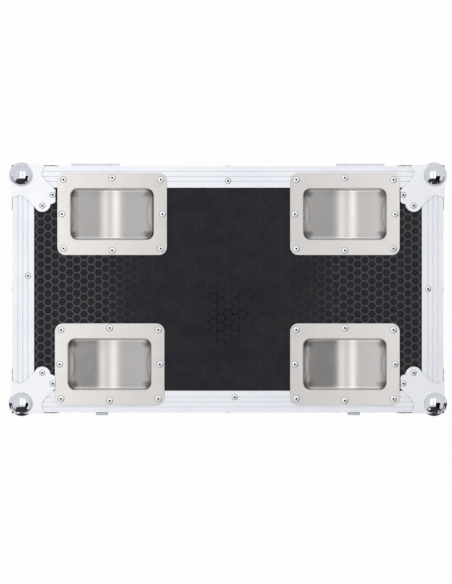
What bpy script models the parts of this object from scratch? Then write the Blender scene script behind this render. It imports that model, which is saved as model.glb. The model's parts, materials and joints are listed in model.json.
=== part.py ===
"""A lighting flight case: black plywood panels in aluminium edging, with ball corners, pressed
castor dishes on a hinged lid, butterfly latches, spring handles and four swivel castors.

Metres, Z up. The origin is on the floor under the middle of the case. The latches are on the
front, which faces -Y, and the lid is hinged along the back.
"""

import math

import bmesh
import bpy
from mathutils import Matrix, Vector

MM = 0.001

# The case as a whole
CASE_LENGTH = 700 * MM
CASE_DEPTH = 400 * MM
BASE_HEIGHT = 420 * MM
LID_HEIGHT = 110 * MM
LID_OPENING_DEGREES = 100
GAP = 0.3 * MM
OVERRUN = 4 * MM
MERGE = 0.001 * MM

# Panels of laminated plywood
PANEL_THICKNESS = 7 * MM

# Aluminium angle edging, with fine grooves along both faces
EDGING_WIDTH = 35 * MM
EDGING_THICKNESS = 1.5 * MM
GROOVE_COUNT = 3
GROOVE_FIRST = 8.7 * MM
GROOVE_SPACING = 8.1 * MM
GROOVE_WIDTH = 1.2 * MM
GROOVE_DEPTH = 0.4 * MM
CORNER_CUT = 15 * MM

# Closing rims: a channel on each half, with a tongue on the lid and a groove in the base
RIM_WALL = 1.5 * MM
RIM_OUTER_LEG = 24 * MM
RIM_INNER_LEG = 12 * MM
RIM_BASE_WEB = 5 * MM
RIM_LID_WEB = 3 * MM
TONGUE_HEIGHT = 3 * MM
TONGUE_ROOT = 4 * MM
TONGUE_TIP = 2 * MM

# Ball corners: a pressed ball and three lobed flanges
BALL_RADIUS = 21 * MM
BALL_INSET = 14.7 * MM
BALL_DEPTH = 9.7 * MM
CORNER_SHEET = 1.5 * MM
CORNER_REACH = 74.4 * MM
CORNER_TIP_CUT = 12 * MM
CORNER_SIDE_SHARES = ((0.692, 0.0), (0.629, 0.168), (0.699, 0.296), (0.83, 0.42))
LOBE_CENTRE_SHARES = (0.82, 0.649)
LOBE_RADIUS_SHARE = 0.18
LOBE_FIRST_DEGREES = -65
LOBE_LAST_DEGREES = 87
LOBE_STEPS = 3
BALL_SEGMENTS = 16
BALL_RINGS = 8

# Castor dishes, pressed from stainless sheet with a trough that a wheel drops into
DISH_SHEET = 1.5 * MM
DISH_FLANGE_LENGTH = 178 * MM
DISH_FLANGE_DEPTH = 133 * MM
DISH_FLANGE_RADIUS = 13 * MM
DISH_MOUTH_LENGTH = 136 * MM
DISH_MOUTH_DEPTH = 84 * MM
DISH_MOUTH_RADIUS = 13 * MM
DISH_ROLL = 3 * MM
DISH_TROUGH_DROP = 34 * MM
DISH_VALLEY_RADIUS = 48 * MM
DISH_FLOOR_DEGREES = 22
DISH_END_FILLET = 9 * MM
DISH_SIDE_FILLET = 4.5 * MM
DISH_FILLET_DROP = 6 * MM
DISH_LEAST_RADIUS = 2 * MM
DISH_SIDE_INSET = 70 * MM
DISH_EDGING_CLEARANCE = 1 * MM
DISH_ARC_STEPS = 3
DISH_LONG_STEPS = 6
DIVIDER_SCOOP_STEPS = 4

# Hinges: two steel leaves, with the pin fixed in the base leaf
HINGE_SPREAD = 436 * MM
HINGE_WIDTH = 80 * MM
HINGE_SHEET = 1.5 * MM
HINGE_LEAF = 36 * MM
HINGE_KNUCKLE_RADIUS = 3 * MM
HINGE_PIN_RADIUS = 1.5 * MM
HINGE_KNUCKLES = 5
HINGE_LEAF_RADIUS = 5 * MM
HINGE_SIDES = 10

# Butterfly latches: a keeper on the lid, and a dish, a turning handle and a hooked tongue below
LATCH_SPREAD = 414 * MM
LATCH_FLANGE_WIDTH = 62 * MM
LATCH_RECESS_WIDTH = 46 * MM
LATCH_SHEET = 1.5 * MM
LATCH_DISH_DROP = 76 * MM
LATCH_FLANGE_MARGIN = 9 * MM
LATCH_FLANGE_RADIUS = 6 * MM
LATCH_HUB_DROP = 42 * MM
HANDLE_HALF_SPAN = 20 * MM
HANDLE_THICKNESS = 2.2 * MM
HANDLE_OUTLINE_SHARES = ((1.0, 0.4), (0.85, 0.55), (0.0, 0.36), (-0.85, 0.55), (-1.0, 0.4))
HUB_RADIUS = 5 * MM
HUB_SPIGOT_RADIUS = 3 * MM
HUB_SIDES = 16
TONGUE_PLATE_WIDTH = 20 * MM
TONGUE_PLATE_THICKNESS = 2 * MM
TONGUE_PLATE_DROP = 14 * MM
TONGUE_PROUD = 6.9 * MM
TONGUE_JOGGLE_LOW = 15 * MM
TONGUE_JOGGLE_HIGH = 6 * MM
TONGUE_SLIDE_DOWN = 8 * MM
TONGUE_SLIDE_IN = 2.3 * MM
TONGUE_ROOM = 4 * MM
HOOK_THICKNESS = 2.5 * MM
KEEPER_RECESS_HEIGHT = 20 * MM
KEEPER_LEDGE_HEIGHT = 2.4 * MM

# Recessed spring handles, one on each end
END_DISH_FLANGE_LENGTH = 160 * MM
END_DISH_FLANGE_HEIGHT = 116 * MM
END_DISH_FLANGE_RADIUS = 12 * MM
END_DISH_MOUTH_LENGTH = 128 * MM
END_DISH_MOUTH_HEIGHT = 84 * MM
END_DISH_MOUTH_RADIUS = 12 * MM
END_DISH_SHEET = 1.2 * MM
END_DISH_ROLL = 2 * MM
END_DISH_FILLET = 3 * MM
END_DISH_RECESS = 19 * MM
END_DISH_LONG_STEPS = 1
END_DISH_ARC_STEPS = 2
END_DISH_HEIGHT_SHARE = 0.62
BAIL_BAR_RADIUS = 4 * MM
BAIL_GRIP_RADIUS = 7.5 * MM
BAIL_GRIP_LENGTH = 84 * MM
BAIL_REACH = 50 * MM
BAIL_PIVOT_DROP = 18 * MM
BAIL_ARM_MARGIN = 6 * MM
BAIL_BEND_RADIUS = 9 * MM
BAIL_BEND_STEPS = 2
BAIL_SIDES = 8

# Swivel castors under the base
CASTOR_HEIGHT = 129.5 * MM
CASTOR_PLATE_LENGTH = 105 * MM
CASTOR_PLATE_DEPTH = 85 * MM
CASTOR_PLATE_THICKNESS = 3 * MM
CASTOR_PLATE_RADIUS = 8 * MM
CASTOR_SIDE_INSET = 74.5 * MM
CASTOR_EDGING_CLEARANCE = 0.5 * MM
CASTOR_TRAIL = 32 * MM
RACE_RADIUS = 27 * MM
RACE_HEIGHT = 8 * MM
KINGPIN_RADIUS = 6 * MM
KINGPIN_HEAD_RADIUS = 9 * MM
KINGPIN_HEAD_HEIGHT = 3 * MM
CROWN_RADIUS = 31 * MM
CROWN_HEIGHT = 8 * MM
CROWN_CHAMFER = 3 * MM
CHEEK_THICKNESS = 3 * MM
CHEEK_BACK = 20 * MM
CHEEK_TOP_BEHIND_AXLE = 24 * MM
CHEEK_BOSS_RADIUS = 12 * MM
CHEEK_ARC_STEPS = 6
AXLE_RADIUS = 6 * MM
AXLE_HEAD_RADIUS = 9 * MM
AXLE_HEAD_HEIGHT = 5 * MM
WHEEL_RADIUS = 50 * MM
WHEEL_WIDTH = 35 * MM
WHEEL_HUB_WIDTH = 38 * MM
WHEEL_HUB_RADIUS = 16 * MM
WHEEL_WEB_WIDTH = 22 * MM
WHEEL_RIM_RADIUS = 38 * MM
WHEEL_SHOULDER = 5 * MM
WHEEL_SEGMENTS = 16
TURNED_SEGMENTS = 14
PEDAL_WIDTH = 28 * MM
PEDAL_PIVOT_BEHIND_AXLE = 14 * MM
PEDAL_PIVOT_ABOVE_TYRE = 8.5 * MM
PEDAL_PIN_RADIUS = 2.5 * MM
PEDAL_BOSS_RADIUS = 5 * MM
PEDAL_ARM_LENGTH = 46 * MM
PEDAL_ARM_THICKNESS = 4 * MM
PEDAL_SHOE_DISTANCE = 16 * MM
PEDAL_SHOE_WIDTH = 5 * MM
PEDAL_TURN_DEGREES = 12

# Inside: foam pads and a divider
BASE_FOAM_THICKNESS = 20 * MM
LID_FOAM_THICKNESS = 32 * MM
FOAM_HOLE_CLEARANCE = 3 * MM
DIVIDER_THICKNESS = 9 * MM
DIVIDER_DROP = 60 * MM
DIVIDER_SCOOP_WIDTH = 160 * MM
DIVIDER_SCOOP_DEPTH = 40 * MM

# Levels and half sizes that follow from the above
HALF_LENGTH = CASE_LENGTH / 2
HALF_DEPTH = CASE_DEPTH / 2
PANEL_INSET = EDGING_THICKNESS + GAP
PANEL_INNER = PANEL_INSET + PANEL_THICKNESS
RIM_DEPTH = PANEL_INNER + GAP + RIM_WALL
BASE_BOTTOM = CASTOR_HEIGHT + GAP - PANEL_INSET
SPLIT = BASE_BOTTOM + BASE_HEIGHT
LID_BOTTOM = SPLIT + GAP
LID_TOP = SPLIT + LID_HEIGHT
DISH_X = HALF_LENGTH - DISH_SIDE_INSET - DISH_FLANGE_LENGTH / 2
DISH_Y = HALF_DEPTH - EDGING_WIDTH - DISH_EDGING_CLEARANCE - DISH_MOUTH_DEPTH / 2
CASTOR_X = HALF_LENGTH - CASTOR_SIDE_INSET - CASTOR_PLATE_LENGTH / 2
CASTOR_Y = HALF_DEPTH - EDGING_WIDTH - CASTOR_EDGING_CLEARANCE - CASTOR_PLATE_DEPTH / 2
HINGE_AXIS_Y = HALF_DEPTH + GAP + HINGE_KNUCKLE_RADIUS
LATCH_FRONT = -(HALF_DEPTH + GAP + LATCH_SHEET)
TONGUE_FRONT = LATCH_FRONT + HANDLE_THICKNESS + GAP
RECESS_FLOOR = TONGUE_FRONT + TONGUE_PLATE_THICKNESS + TONGUE_ROOM + GAP
HUB_LEVEL = SPLIT - LATCH_HUB_DROP
LEDGE_TOP = LID_BOTTOM + KEEPER_LEDGE_HEIGHT
LEDGE_FRONT = -(HALF_DEPTH + TONGUE_SLIDE_IN)
BAIL_DEPTH = END_DISH_RECESS - BAIL_GRIP_RADIUS - GAP * 2
END_DISH_LEVEL = BASE_BOTTOM + BASE_HEIGHT * END_DISH_HEIGHT_SHARE
BAIL_LEVEL = END_DISH_LEVEL + END_DISH_MOUTH_HEIGHT / 2 - BAIL_PIVOT_DROP

CORNER_SIGNS = ((-1, 1, "back_left"), (1, 1, "back_right"), (1, -1, "front_right"), (-1, -1, "front_left"))
SIDE_SIGNS = ((-1, "left"), (1, "right"))

# Colour, roughness and metallic value of each finish
FINISHES = {
    "black_laminate": ((0.020, 0.021, 0.026), 0.45, 0.0),
    "anodised_aluminium": ((0.80, 0.83, 0.87), 0.35, 1.0),
    "chrome_steel": ((0.78, 0.79, 0.82), 0.12, 1.0),
    "stainless_steel": ((0.62, 0.59, 0.56), 0.30, 1.0),
    "zinc_steel": ((0.66, 0.68, 0.71), 0.30, 1.0),
    "castor_steel": ((0.55, 0.57, 0.60), 0.35, 1.0),
    "wheel_rubber": ((0.035, 0.036, 0.040), 0.75, 0.0),
    "grip_rubber": ((0.018, 0.018, 0.020), 0.70, 0.0),
    "brake_plastic": ((0.30, 0.03, 0.02), 0.50, 0.0),
    "black_foam": ((0.022, 0.022, 0.024), 0.95, 0.0),
    "divider_wood": ((0.030, 0.030, 0.034), 0.60, 0.0),
}


def clear_scene():
    """Remove whatever the scene holds before the model is made."""
    for item in list(bpy.data.objects):
        bpy.data.objects.remove(item, do_unlink=True)


def principled(name, finish):
    """A material with one Principled BSDF set to a named finish."""
    colour, roughness, metallic = FINISHES[finish]
    material = bpy.data.materials.new(name)
    material.use_nodes = True
    shader = material.node_tree.nodes["Principled BSDF"]
    shader.inputs["Base Color"].default_value = (*colour, 1.0)
    shader.inputs["Roughness"].default_value = roughness
    shader.inputs["Metallic"].default_value = metallic
    material.diffuse_color = (*colour, 1.0)
    return material


def add_pivot(name, place, parent=None):
    """An empty on a joint's axis, which the pieces of one moving body hang from."""
    pivot = bpy.data.objects.new(name, None)
    bpy.context.scene.collection.objects.link(pivot)
    attach(pivot, Vector(place), parent)
    return pivot


def attach(item, place, parent):
    """Put an object at a place in the world, under a parent if it has one."""
    item["world_place"] = list(place)
    item.parent = parent
    if parent:
        place = place - Vector(parent["world_place"])
    item.location = place


def add_piece(name, mesh, finish, parent=None, axis_point=(0, 0, 0), smooth_degrees=None):
    """Make a named object from a bmesh in world coordinates, with its origin on axis_point."""
    origin = Vector(parent["world_place"]) if parent else Vector(axis_point)
    bmesh.ops.translate(mesh, verts=mesh.verts[:], vec=-origin)
    data = bpy.data.meshes.new(name)
    mesh.to_mesh(data)
    mesh.free()
    data.materials.append(principled(name, finish))
    if smooth_degrees:
        data.shade_smooth()
        data.set_sharp_from_angle(angle=math.radians(smooth_degrees))
    piece = bpy.data.objects.new(name, data)
    bpy.context.scene.collection.objects.link(piece)
    attach(piece, origin, parent)
    return piece


def along_x(u, v, w):
    """A point whose outline lies in Y and Z."""
    return (w, u, v)


def along_y(u, v, w):
    """A point whose outline lies in X and Z."""
    return (u, w, v)


def along_z(u, v, w):
    """A point whose outline lies in X and Y."""
    return (u, v, w)


def prism(outline, axis, low, high):
    """Sweep a flat outline from low to high along an axis."""
    mesh = bmesh.new()
    face = mesh.faces.new([mesh.verts.new(axis(u, v, low)) for u, v in outline])
    swept = bmesh.ops.extrude_face_region(mesh, geom=[face])
    moved = [item for item in swept["geom"] if isinstance(item, bmesh.types.BMVert)]
    bmesh.ops.translate(mesh, verts=moved, vec=axis(0, 0, high - low))
    bmesh.ops.recalc_face_normals(mesh, faces=mesh.faces[:])
    return mesh


def block(x_range, y_range, z_range):
    """A box between two limits along each axis."""
    (x_low, x_high), (y_low, y_high) = x_range, y_range
    outline = ((x_low, y_low), (x_high, y_low), (x_high, y_high), (x_low, y_high))
    return prism(outline, along_z, *z_range)


def circle(radius, sides, centre=(0, 0)):
    """The points of a regular polygon round a centre."""
    turns = [2 * math.pi * (side + 0.5) / sides for side in range(sides)]
    return [(centre[0] + radius * math.cos(t), centre[1] + radius * math.sin(t)) for t in turns]


def arc(centre, radius, first, last, steps):
    """Points along a circle's arc, from one angle to another in degrees."""
    points = []
    for step in range(steps + 1):
        angle = math.radians(first + (last - first) * step / steps)
        points.append((centre[0] + radius * math.cos(angle), centre[1] + radius * math.sin(angle)))
    return points


def rounded_rectangle(half_width, half_height, radius, arc_steps, long_steps=1, centre=(0, 0)):
    """Counterclockwise points of a rectangle with round corners, its long sides cut in steps."""
    points = []
    corners = ((1, 1, 0), (-1, 1, 90), (-1, -1, 180), (1, -1, 270))
    for x_sign, y_sign, first in corners:
        middle = (x_sign * (half_width - radius), y_sign * (half_height - radius))
        points += arc(middle, radius, first, first + 90, arc_steps)
        if x_sign == y_sign:
            straight = half_width - radius
            for step in range(1, long_steps):
                share = 1 - 2 * step / long_steps
                points.append((x_sign * straight * share, y_sign * half_height))
    return [(centre[0] + u, centre[1] + v) for u, v in points]


def turned(profile, segments, centre, axis="Z"):
    """A solid of revolution from a closed profile of (radius, height) points."""
    mesh = bmesh.new()
    rings = []
    for segment in range(segments):
        angle = 2 * math.pi * segment / segments
        spread = (math.cos(angle), math.sin(angle))
        rings.append([mesh.verts.new((r * spread[0], r * spread[1], h)) for r, h in profile])
    for here, following in zip(rings, rings[1:] + rings[:1]):
        for index in range(len(profile)):
            after = (index + 1) % len(profile)
            corners = (here[index], following[index], following[after], here[after])
            mesh.faces.new(corners)
    bmesh.ops.remove_doubles(mesh, verts=mesh.verts[:], dist=MERGE)
    if axis == "Y":
        bmesh.ops.rotate(mesh, verts=mesh.verts[:], matrix=Matrix.Rotation(math.pi / 2, 3, "X"))
    bmesh.ops.translate(mesh, verts=mesh.verts[:], vec=centre)
    bmesh.ops.recalc_face_normals(mesh, faces=mesh.faces[:])
    return mesh


def tube(path, radius, sides, across):
    """A round bar along a flat path, mitred at its points. across is square to the path's plane."""
    mesh = bmesh.new()
    across = Vector(across)
    points = [Vector(point) for point in path]
    rings = []
    for index, point in enumerate(points):
        before = points[max(index - 1, 0)]
        after = points[min(index + 1, len(points) - 1)]
        back = (point - before).normalized()
        ahead = (after - point).normalized()
        tangent = (back + ahead).normalized()
        outward = across.cross(tangent)
        half_bend = max(back.dot(ahead), 0) if back.length * ahead.length else 1
        stretch = 1 / math.sqrt((1 + half_bend) / 2)
        ring = []
        for u, v in circle(radius, sides):
            ring.append(mesh.verts.new(point + outward * u * stretch + across * v))
        rings.append(ring)
    for here, following in zip(rings, rings[1:]):
        for index in range(sides):
            after = (index + 1) % sides
            mesh.faces.new((here[index], here[after], following[after], following[index]))
    mesh.faces.new(rings[0][::-1])
    mesh.faces.new(rings[-1])
    bmesh.ops.recalc_face_normals(mesh, faces=mesh.faces[:])
    return mesh


def hull(points):
    """The convex solid round a set of points."""
    mesh = bmesh.new()
    verts = [mesh.verts.new(point) for point in points]
    result = bmesh.ops.convex_hull(mesh, input=verts)
    spare = [item for item in result["geom_interior"] if isinstance(item, bmesh.types.BMVert)]
    bmesh.ops.delete(mesh, geom=spare, context="VERTS")
    bmesh.ops.recalc_face_normals(mesh, faces=mesh.faces[:])
    return mesh


def gathered(meshes):
    """Join separate bodies that don't touch into one bmesh."""
    whole = bmesh.new()
    for mesh in meshes:
        data = bpy.data.meshes.new("gathered")
        mesh.to_mesh(data)
        mesh.free()
        whole.from_mesh(data)
        bpy.data.meshes.remove(data)
    return whole


def hidden_object(mesh):
    """A helper object for a modifier, never part of the model."""
    data = bpy.data.meshes.new("helper")
    mesh.to_mesh(data)
    mesh.free()
    helper = bpy.data.objects.new("helper", data)
    helper.hide_render = True
    helper.display_type = "WIRE"
    bpy.context.scene.collection.objects.link(helper)
    return helper


def evaluated(helper, spares=()):
    """The bmesh that an object's modifiers give. The object and its spares are removed."""
    result = bmesh.new()
    result.from_object(helper, bpy.context.evaluated_depsgraph_get())
    for spare in (helper, *spares):
        bpy.data.objects.remove(spare, do_unlink=True)
    return result


def combined(mesh, tool, operation):
    """An exact Boolean of two bmeshes, with flat faces merged again."""
    body = hidden_object(mesh)
    cutter = hidden_object(tool)
    modifier = body.modifiers.new("combine", "BOOLEAN")
    modifier.operation = operation
    modifier.solver = "EXACT"
    modifier.object = cutter
    result = evaluated(body, [cutter])
    bmesh.ops.remove_doubles(result, verts=result.verts[:], dist=MERGE)
    flat_angle = math.radians(0.05)
    bmesh.ops.dissolve_limit(
        result, angle_limit=flat_angle, verts=result.verts[:], edges=result.edges[:]
    )
    return result


def joined(mesh, *others):
    """One body from several that overlap or touch."""
    for other in others:
        mesh = combined(mesh, other, "UNION")
    return mesh


def cut(mesh, *tools):
    """A body with tools taken out of it."""
    for tool in tools:
        mesh = combined(mesh, tool, "DIFFERENCE")
    return mesh


def mirrored(mesh, x_sign, y_sign, z_sign):
    """A copy turned into another corner by its signs."""
    result = mesh.copy()
    bmesh.ops.scale(result, verts=result.verts[:], vec=(x_sign, y_sign, z_sign))
    bmesh.ops.recalc_face_normals(result, faces=result.faces[:])
    return result


def shifted(mesh, offset):
    """A copy moved by an offset."""
    result = mesh.copy()
    bmesh.ops.translate(result, verts=result.verts[:], vec=offset)
    return result


def mitred_ring(profile):
    """A profile of (inset, level) points carried round the case, mitred at its corners."""
    mesh = bmesh.new()
    rings = []
    for x_sign, y_sign, _ in CORNER_SIGNS:
        ring = []
        for inset, level in profile:
            place = (x_sign * (HALF_LENGTH - inset), y_sign * (HALF_DEPTH - inset), level)
            ring.append(mesh.verts.new(place))
        rings.append(ring)
    for here, following in zip(rings, rings[1:] + rings[:1]):
        for index in range(len(profile)):
            after = (index + 1) % len(profile)
            mesh.faces.new((here[index], here[after], following[after], following[index]))
    bmesh.ops.recalc_face_normals(mesh, faces=mesh.faces[:])
    return mesh


def edging_profile():
    """Across the angle: out along one leg with its grooves, over the corner and down the other."""
    leg = [(EDGING_WIDTH, 0)]
    for count in reversed(range(GROOVE_COUNT)):
        middle = GROOVE_FIRST + count * GROOVE_SPACING
        leg.append((middle + GROOVE_WIDTH / 2, 0))
        leg.append((middle, GROOVE_DEPTH))
        leg.append((middle - GROOVE_WIDTH / 2, 0))
    other_leg = [(v, u) for u, v in reversed(leg)]
    inside = [
        (EDGING_THICKNESS, EDGING_WIDTH),
        (EDGING_THICKNESS, EDGING_THICKNESS),
        (EDGING_WIDTH, EDGING_THICKNESS),
    ]
    return [*leg, (0, 0), *other_leg, *inside]


def corner_tips(level, z_sign):
    """Wedges that cut the sharp tips off the four corners at a level. z_sign 1 is the top."""
    pattern = wedge(CORNER_CUT, OVERRUN)
    tips = []
    for x_sign, y_sign, _ in CORNER_SIGNS:
        tip = mirrored(pattern, -x_sign, -y_sign, -z_sign)
        tips.append(shifted(tip, (x_sign * HALF_LENGTH, y_sign * HALF_DEPTH, level)))
    return gathered(tips)


def edging(level, z_sign, post_end):
    """A mitred ring of angle at a level, with four corner posts that run on to post_end."""
    profile = edging_profile()
    ring = mitred_ring([(inset, level - z_sign * drop) for inset, drop in profile])
    post_start = level - z_sign * EDGING_WIDTH
    low, high = sorted((post_start, post_end))
    posts = []
    for x_sign, y_sign, _ in CORNER_SIGNS:
        outline = [(x_sign * (HALF_LENGTH - u), y_sign * (HALF_DEPTH - v)) for u, v in profile]
        posts.append(prism(outline, along_z, low, high))
    return cut(joined(ring, gathered(posts)), corner_tips(level, z_sign))


def closing_rim(level, z_sign, web, tongue):
    """A channel that grips the panels' edges at a level. z_sign 1 is a channel open downwards."""
    middle = RIM_DEPTH / 2
    clearance = 0 if tongue < 0 else GAP
    root = TONGUE_ROOT / 2 + clearance
    tip = TONGUE_TIP / 2 + clearance
    shape = [
        (0, RIM_OUTER_LEG),
        (0, 0),
        (middle - root, 0),
        (middle - tip, tongue),
        (middle + tip, tongue),
        (middle + root, 0),
        (RIM_DEPTH, 0),
        (RIM_DEPTH, RIM_INNER_LEG),
        (RIM_DEPTH - RIM_WALL, RIM_INNER_LEG),
        (RIM_DEPTH - RIM_WALL, web),
        (RIM_WALL, web),
        (RIM_WALL, RIM_OUTER_LEG),
    ]
    ring = mitred_ring([(inset, level - z_sign * drop) for inset, drop in shape])
    return cut(ring, gathered([latch_pocket(place) for place in latch_places()]))


def latch_places():
    """Where the latches stand along X."""
    return [sign * LATCH_SPREAD / 2 for sign, _ in SIDE_SIGNS]


def latch_pocket(place):
    """The room that one latch's pressed recess takes out of the rims and the front panels."""
    half = LATCH_RECESS_WIDTH / 2 + LATCH_SHEET + GAP
    low = SPLIT - LATCH_DISH_DROP + LATCH_FLANGE_MARGIN - LATCH_SHEET - GAP
    high = LID_BOTTOM + KEEPER_RECESS_HEIGHT + LATCH_SHEET + GAP
    depth = (-HALF_DEPTH - OVERRUN, RECESS_FLOOR + LATCH_SHEET + GAP)
    return block((place - half, place + half), depth, (low, high))


def dish_places():
    """The centres of the four castor dishes on the lid, with the name of each corner."""
    return [(x_sign * DISH_X, y_sign * DISH_Y, name) for x_sign, y_sign, name in CORNER_SIGNS]


def dish_cutters(clearance, low, high):
    """Rounded holes for the four dishes, wider than their mouths by a clearance."""
    holes = []
    for x, y, _ in dish_places():
        outline = rounded_rectangle(
            DISH_MOUTH_LENGTH / 2 + clearance,
            DISH_MOUTH_DEPTH / 2 + clearance,
            DISH_MOUTH_RADIUS + clearance,
            DISH_ARC_STEPS,
            centre=(x, y),
        )
        holes.append(prism(outline, along_z, low, high))
    return gathered(holes)


def wall_panels(prefix, low, high, parent, tips):
    """The four upright panels of one half. The front and back run the full length."""
    outer_x = HALF_LENGTH - PANEL_INSET
    outer_y = HALF_DEPTH - PANEL_INSET
    inner_x = HALF_LENGTH - PANEL_INNER
    inner_y = HALF_DEPTH - PANEL_INNER
    level = (low, high)
    front = block((-outer_x, outer_x), (-outer_y, -inner_y), level)
    front = cut(front, gathered([latch_pocket(place) for place in latch_places()]), tips.copy())
    add_piece(prefix + "_front_panel", front, "black_laminate", parent)
    back = cut(block((-outer_x, outer_x), (inner_y, outer_y), level), tips)
    add_piece(prefix + "_back_panel", back, "black_laminate", parent)
    for sign, side in SIDE_SIGNS:
        ends = sorted((sign * inner_x, sign * outer_x))
        panel = block(ends, (-inner_y + GAP, inner_y - GAP), level)
        if prefix == "base":
            panel = cut(panel, end_dish_hole(sign))
        add_piece(f"{prefix}_{side}_panel", panel, "black_laminate", parent)


def end_dish_hole(sign):
    """The hole through an end panel for the recessed handle, with room for its pivot pins."""
    outline = rounded_rectangle(
        END_DISH_MOUTH_LENGTH / 2 + GAP,
        END_DISH_MOUTH_HEIGHT / 2 + GAP,
        END_DISH_MOUTH_RADIUS + GAP,
        END_DISH_ARC_STEPS,
        centre=(0, END_DISH_LEVEL),
    )
    ends = sorted((sign * (HALF_LENGTH - PANEL_INNER - OVERRUN), sign * (HALF_LENGTH + OVERRUN)))
    return prism(outline, along_x, *ends)


def flat_panel(level, z_sign):
    """The lid's top panel or the base panel, its tips cut where the ball corners sit."""
    outer_x = HALF_LENGTH - PANEL_INSET
    outer_y = HALF_DEPTH - PANEL_INSET
    levels = sorted((level - z_sign * PANEL_INSET, level - z_sign * PANEL_INNER))
    panel = block((-outer_x, outer_x), (-outer_y, outer_y), levels)
    return cut(panel, corner_tips(level, z_sign))


def corner_flange_outline(reach_limit):
    """One lobed flange: along an edge, in at the waist, round two lobes and back by symmetry."""
    side = [(u * CORNER_REACH, v * CORNER_REACH) for u, v in CORNER_SIDE_SHARES]
    middle = tuple(share * CORNER_REACH for share in LOBE_CENTRE_SHARES)
    radius = LOBE_RADIUS_SHARE * CORNER_REACH
    lobe = arc(middle, radius, LOBE_FIRST_DEGREES, LOBE_LAST_DEGREES, LOBE_STEPS)
    half = side + lobe
    outer = GAP + CORNER_SHEET
    start = (half[0][0], -outer)
    mirror = [(v, u) for u, v in reversed(half)]
    outline = [(-outer, -outer), start, *half, *mirror, (start[1], start[0])]
    return [(min(u, reach_limit), v) for u, v in outline]


def wedge(size, overrun):
    """The solid tip of a corner at the origin, cut by the plane where x + y + z is size."""
    far = size + 2 * overrun
    near = -overrun
    return hull(((near, near, near), (far, near, near), (near, far, near), (near, near, far)))


def ball_corner():
    """A ball and three folded flanges over a case corner at the origin, which fills +X +Y +Z."""
    outer = GAP + CORNER_SHEET
    free = CORNER_REACH + OVERRUN
    limited = DISH_SIDE_INSET - GAP
    plates = []
    for axis, limit in ((along_z, limited), (along_x, free), (along_y, free)):
        plates.append(prism(corner_flange_outline(limit), axis, -outer, OVERRUN))
    folded = cut(joined(*plates), wedge(CORNER_TIP_CUT, OVERRUN * 2))
    ball = bmesh.new()
    bmesh.ops.create_uvsphere(
        ball, u_segments=BALL_SEGMENTS, v_segments=BALL_RINGS, radius=BALL_RADIUS
    )
    bmesh.ops.translate(ball, verts=ball.verts[:], vec=(BALL_INSET, BALL_INSET, BALL_DEPTH))
    far = CORNER_REACH + BALL_RADIUS
    near = CORNER_CUT - GAP * math.sqrt(3) + 2 * GAP
    inside = [(x, y, z) for x in (-GAP, far) for y in (-GAP, far) for z in (-GAP, far)]
    inside += [(near, -GAP, -GAP), (-GAP, near, -GAP), (-GAP, -GAP, near)]
    case = hull([point for point in inside if point != (-GAP, -GAP, -GAP)])
    return cut(joined(folded, ball), case)


def add_ball_corners(prefix, level, z_sign, parent):
    """The four ball corners of one half."""
    pattern = ball_corner()
    for x_sign, y_sign, name in CORNER_SIGNS:
        corner = mirrored(pattern, -x_sign, -y_sign, -z_sign)
        place = (x_sign * HALF_LENGTH, y_sign * HALF_DEPTH, level)
        bmesh.ops.translate(corner, verts=corner.verts[:], vec=place)
        add_piece(f"{prefix}_corner_{name}", corner, "chrome_steel", parent, smooth_degrees=40)
    pattern.free()


def pressed_dish(flange, mouth, roll, fillets, fillet_drop, floor_drop, sheet, steps):
    """A sheet pressed down from a flange: a rolled mouth, upright walls, a fillet and a floor.

    flange and mouth are (half width, half height, radius), fillets are (across the ends, across
    the long sides), floor_drop gives the floor's depth at a distance along X, and steps are
    (round a corner, along a side).
    """
    rings = [(flange, lambda x: 0.0)]
    for degrees in (0, 45, 90):
        turn = math.radians(degrees)
        inset = roll * math.sin(turn)
        drop = roll * (1 - math.cos(turn))
        size = (mouth[0] - inset, mouth[1] - inset, mouth[2] - inset)
        rings.append((size, lambda x, drop=drop: drop))
    floor_end = mouth[0] - roll - fillets[0]
    for degrees in (0, 45, 90):
        turn = math.radians(degrees)
        share = 1 - math.cos(turn)
        rise = fillet_drop * (1 - math.sin(turn))
        inset_x = roll + fillets[0] * share
        inset_y = roll + fillets[1] * share
        radius = max(mouth[2] - roll - fillets[0] * share, DISH_LEAST_RADIUS)
        size = (mouth[0] - inset_x, mouth[1] - inset_y, radius)
        rings.append((size, lambda x, rise=rise: floor_drop(min(abs(x), floor_end)) - rise))
    mesh = bmesh.new()
    loops = []
    for (half_width, half_height, radius), drop in rings:
        outline = rounded_rectangle(half_width, half_height, radius, *steps)
        loops.append([mesh.verts.new((x, y, -drop(x))) for x, y in outline])
    count = len(loops[0])
    for outside, inside in zip(loops, loops[1:]):
        for index in range(count):
            after = (index + 1) % count
            mesh.faces.new((outside[index], outside[after], inside[after], inside[index]))
    floor = loops[-1]
    upper = floor[: count // 2]
    lower = floor[: count // 2 - 1 : -1]
    for index in range(count // 2 - 1):
        mesh.faces.new((upper[index], upper[index + 1], lower[index + 1], lower[index]))
    return solidified(mesh, sheet)


def solidified(mesh, thickness):
    """Give an open sheet its thickness, below its faces."""
    bmesh.ops.recalc_face_normals(mesh, faces=mesh.faces[:])
    mesh.faces.ensure_lookup_table()
    if mesh.faces[0].normal.z < 0:
        bmesh.ops.reverse_faces(mesh, faces=mesh.faces[:])
    helper = hidden_object(mesh)
    modifier = helper.modifiers.new("sheet", "SOLIDIFY")
    modifier.thickness = thickness
    modifier.offset = -1
    modifier.use_even_offset = True
    return evaluated(helper)


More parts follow.
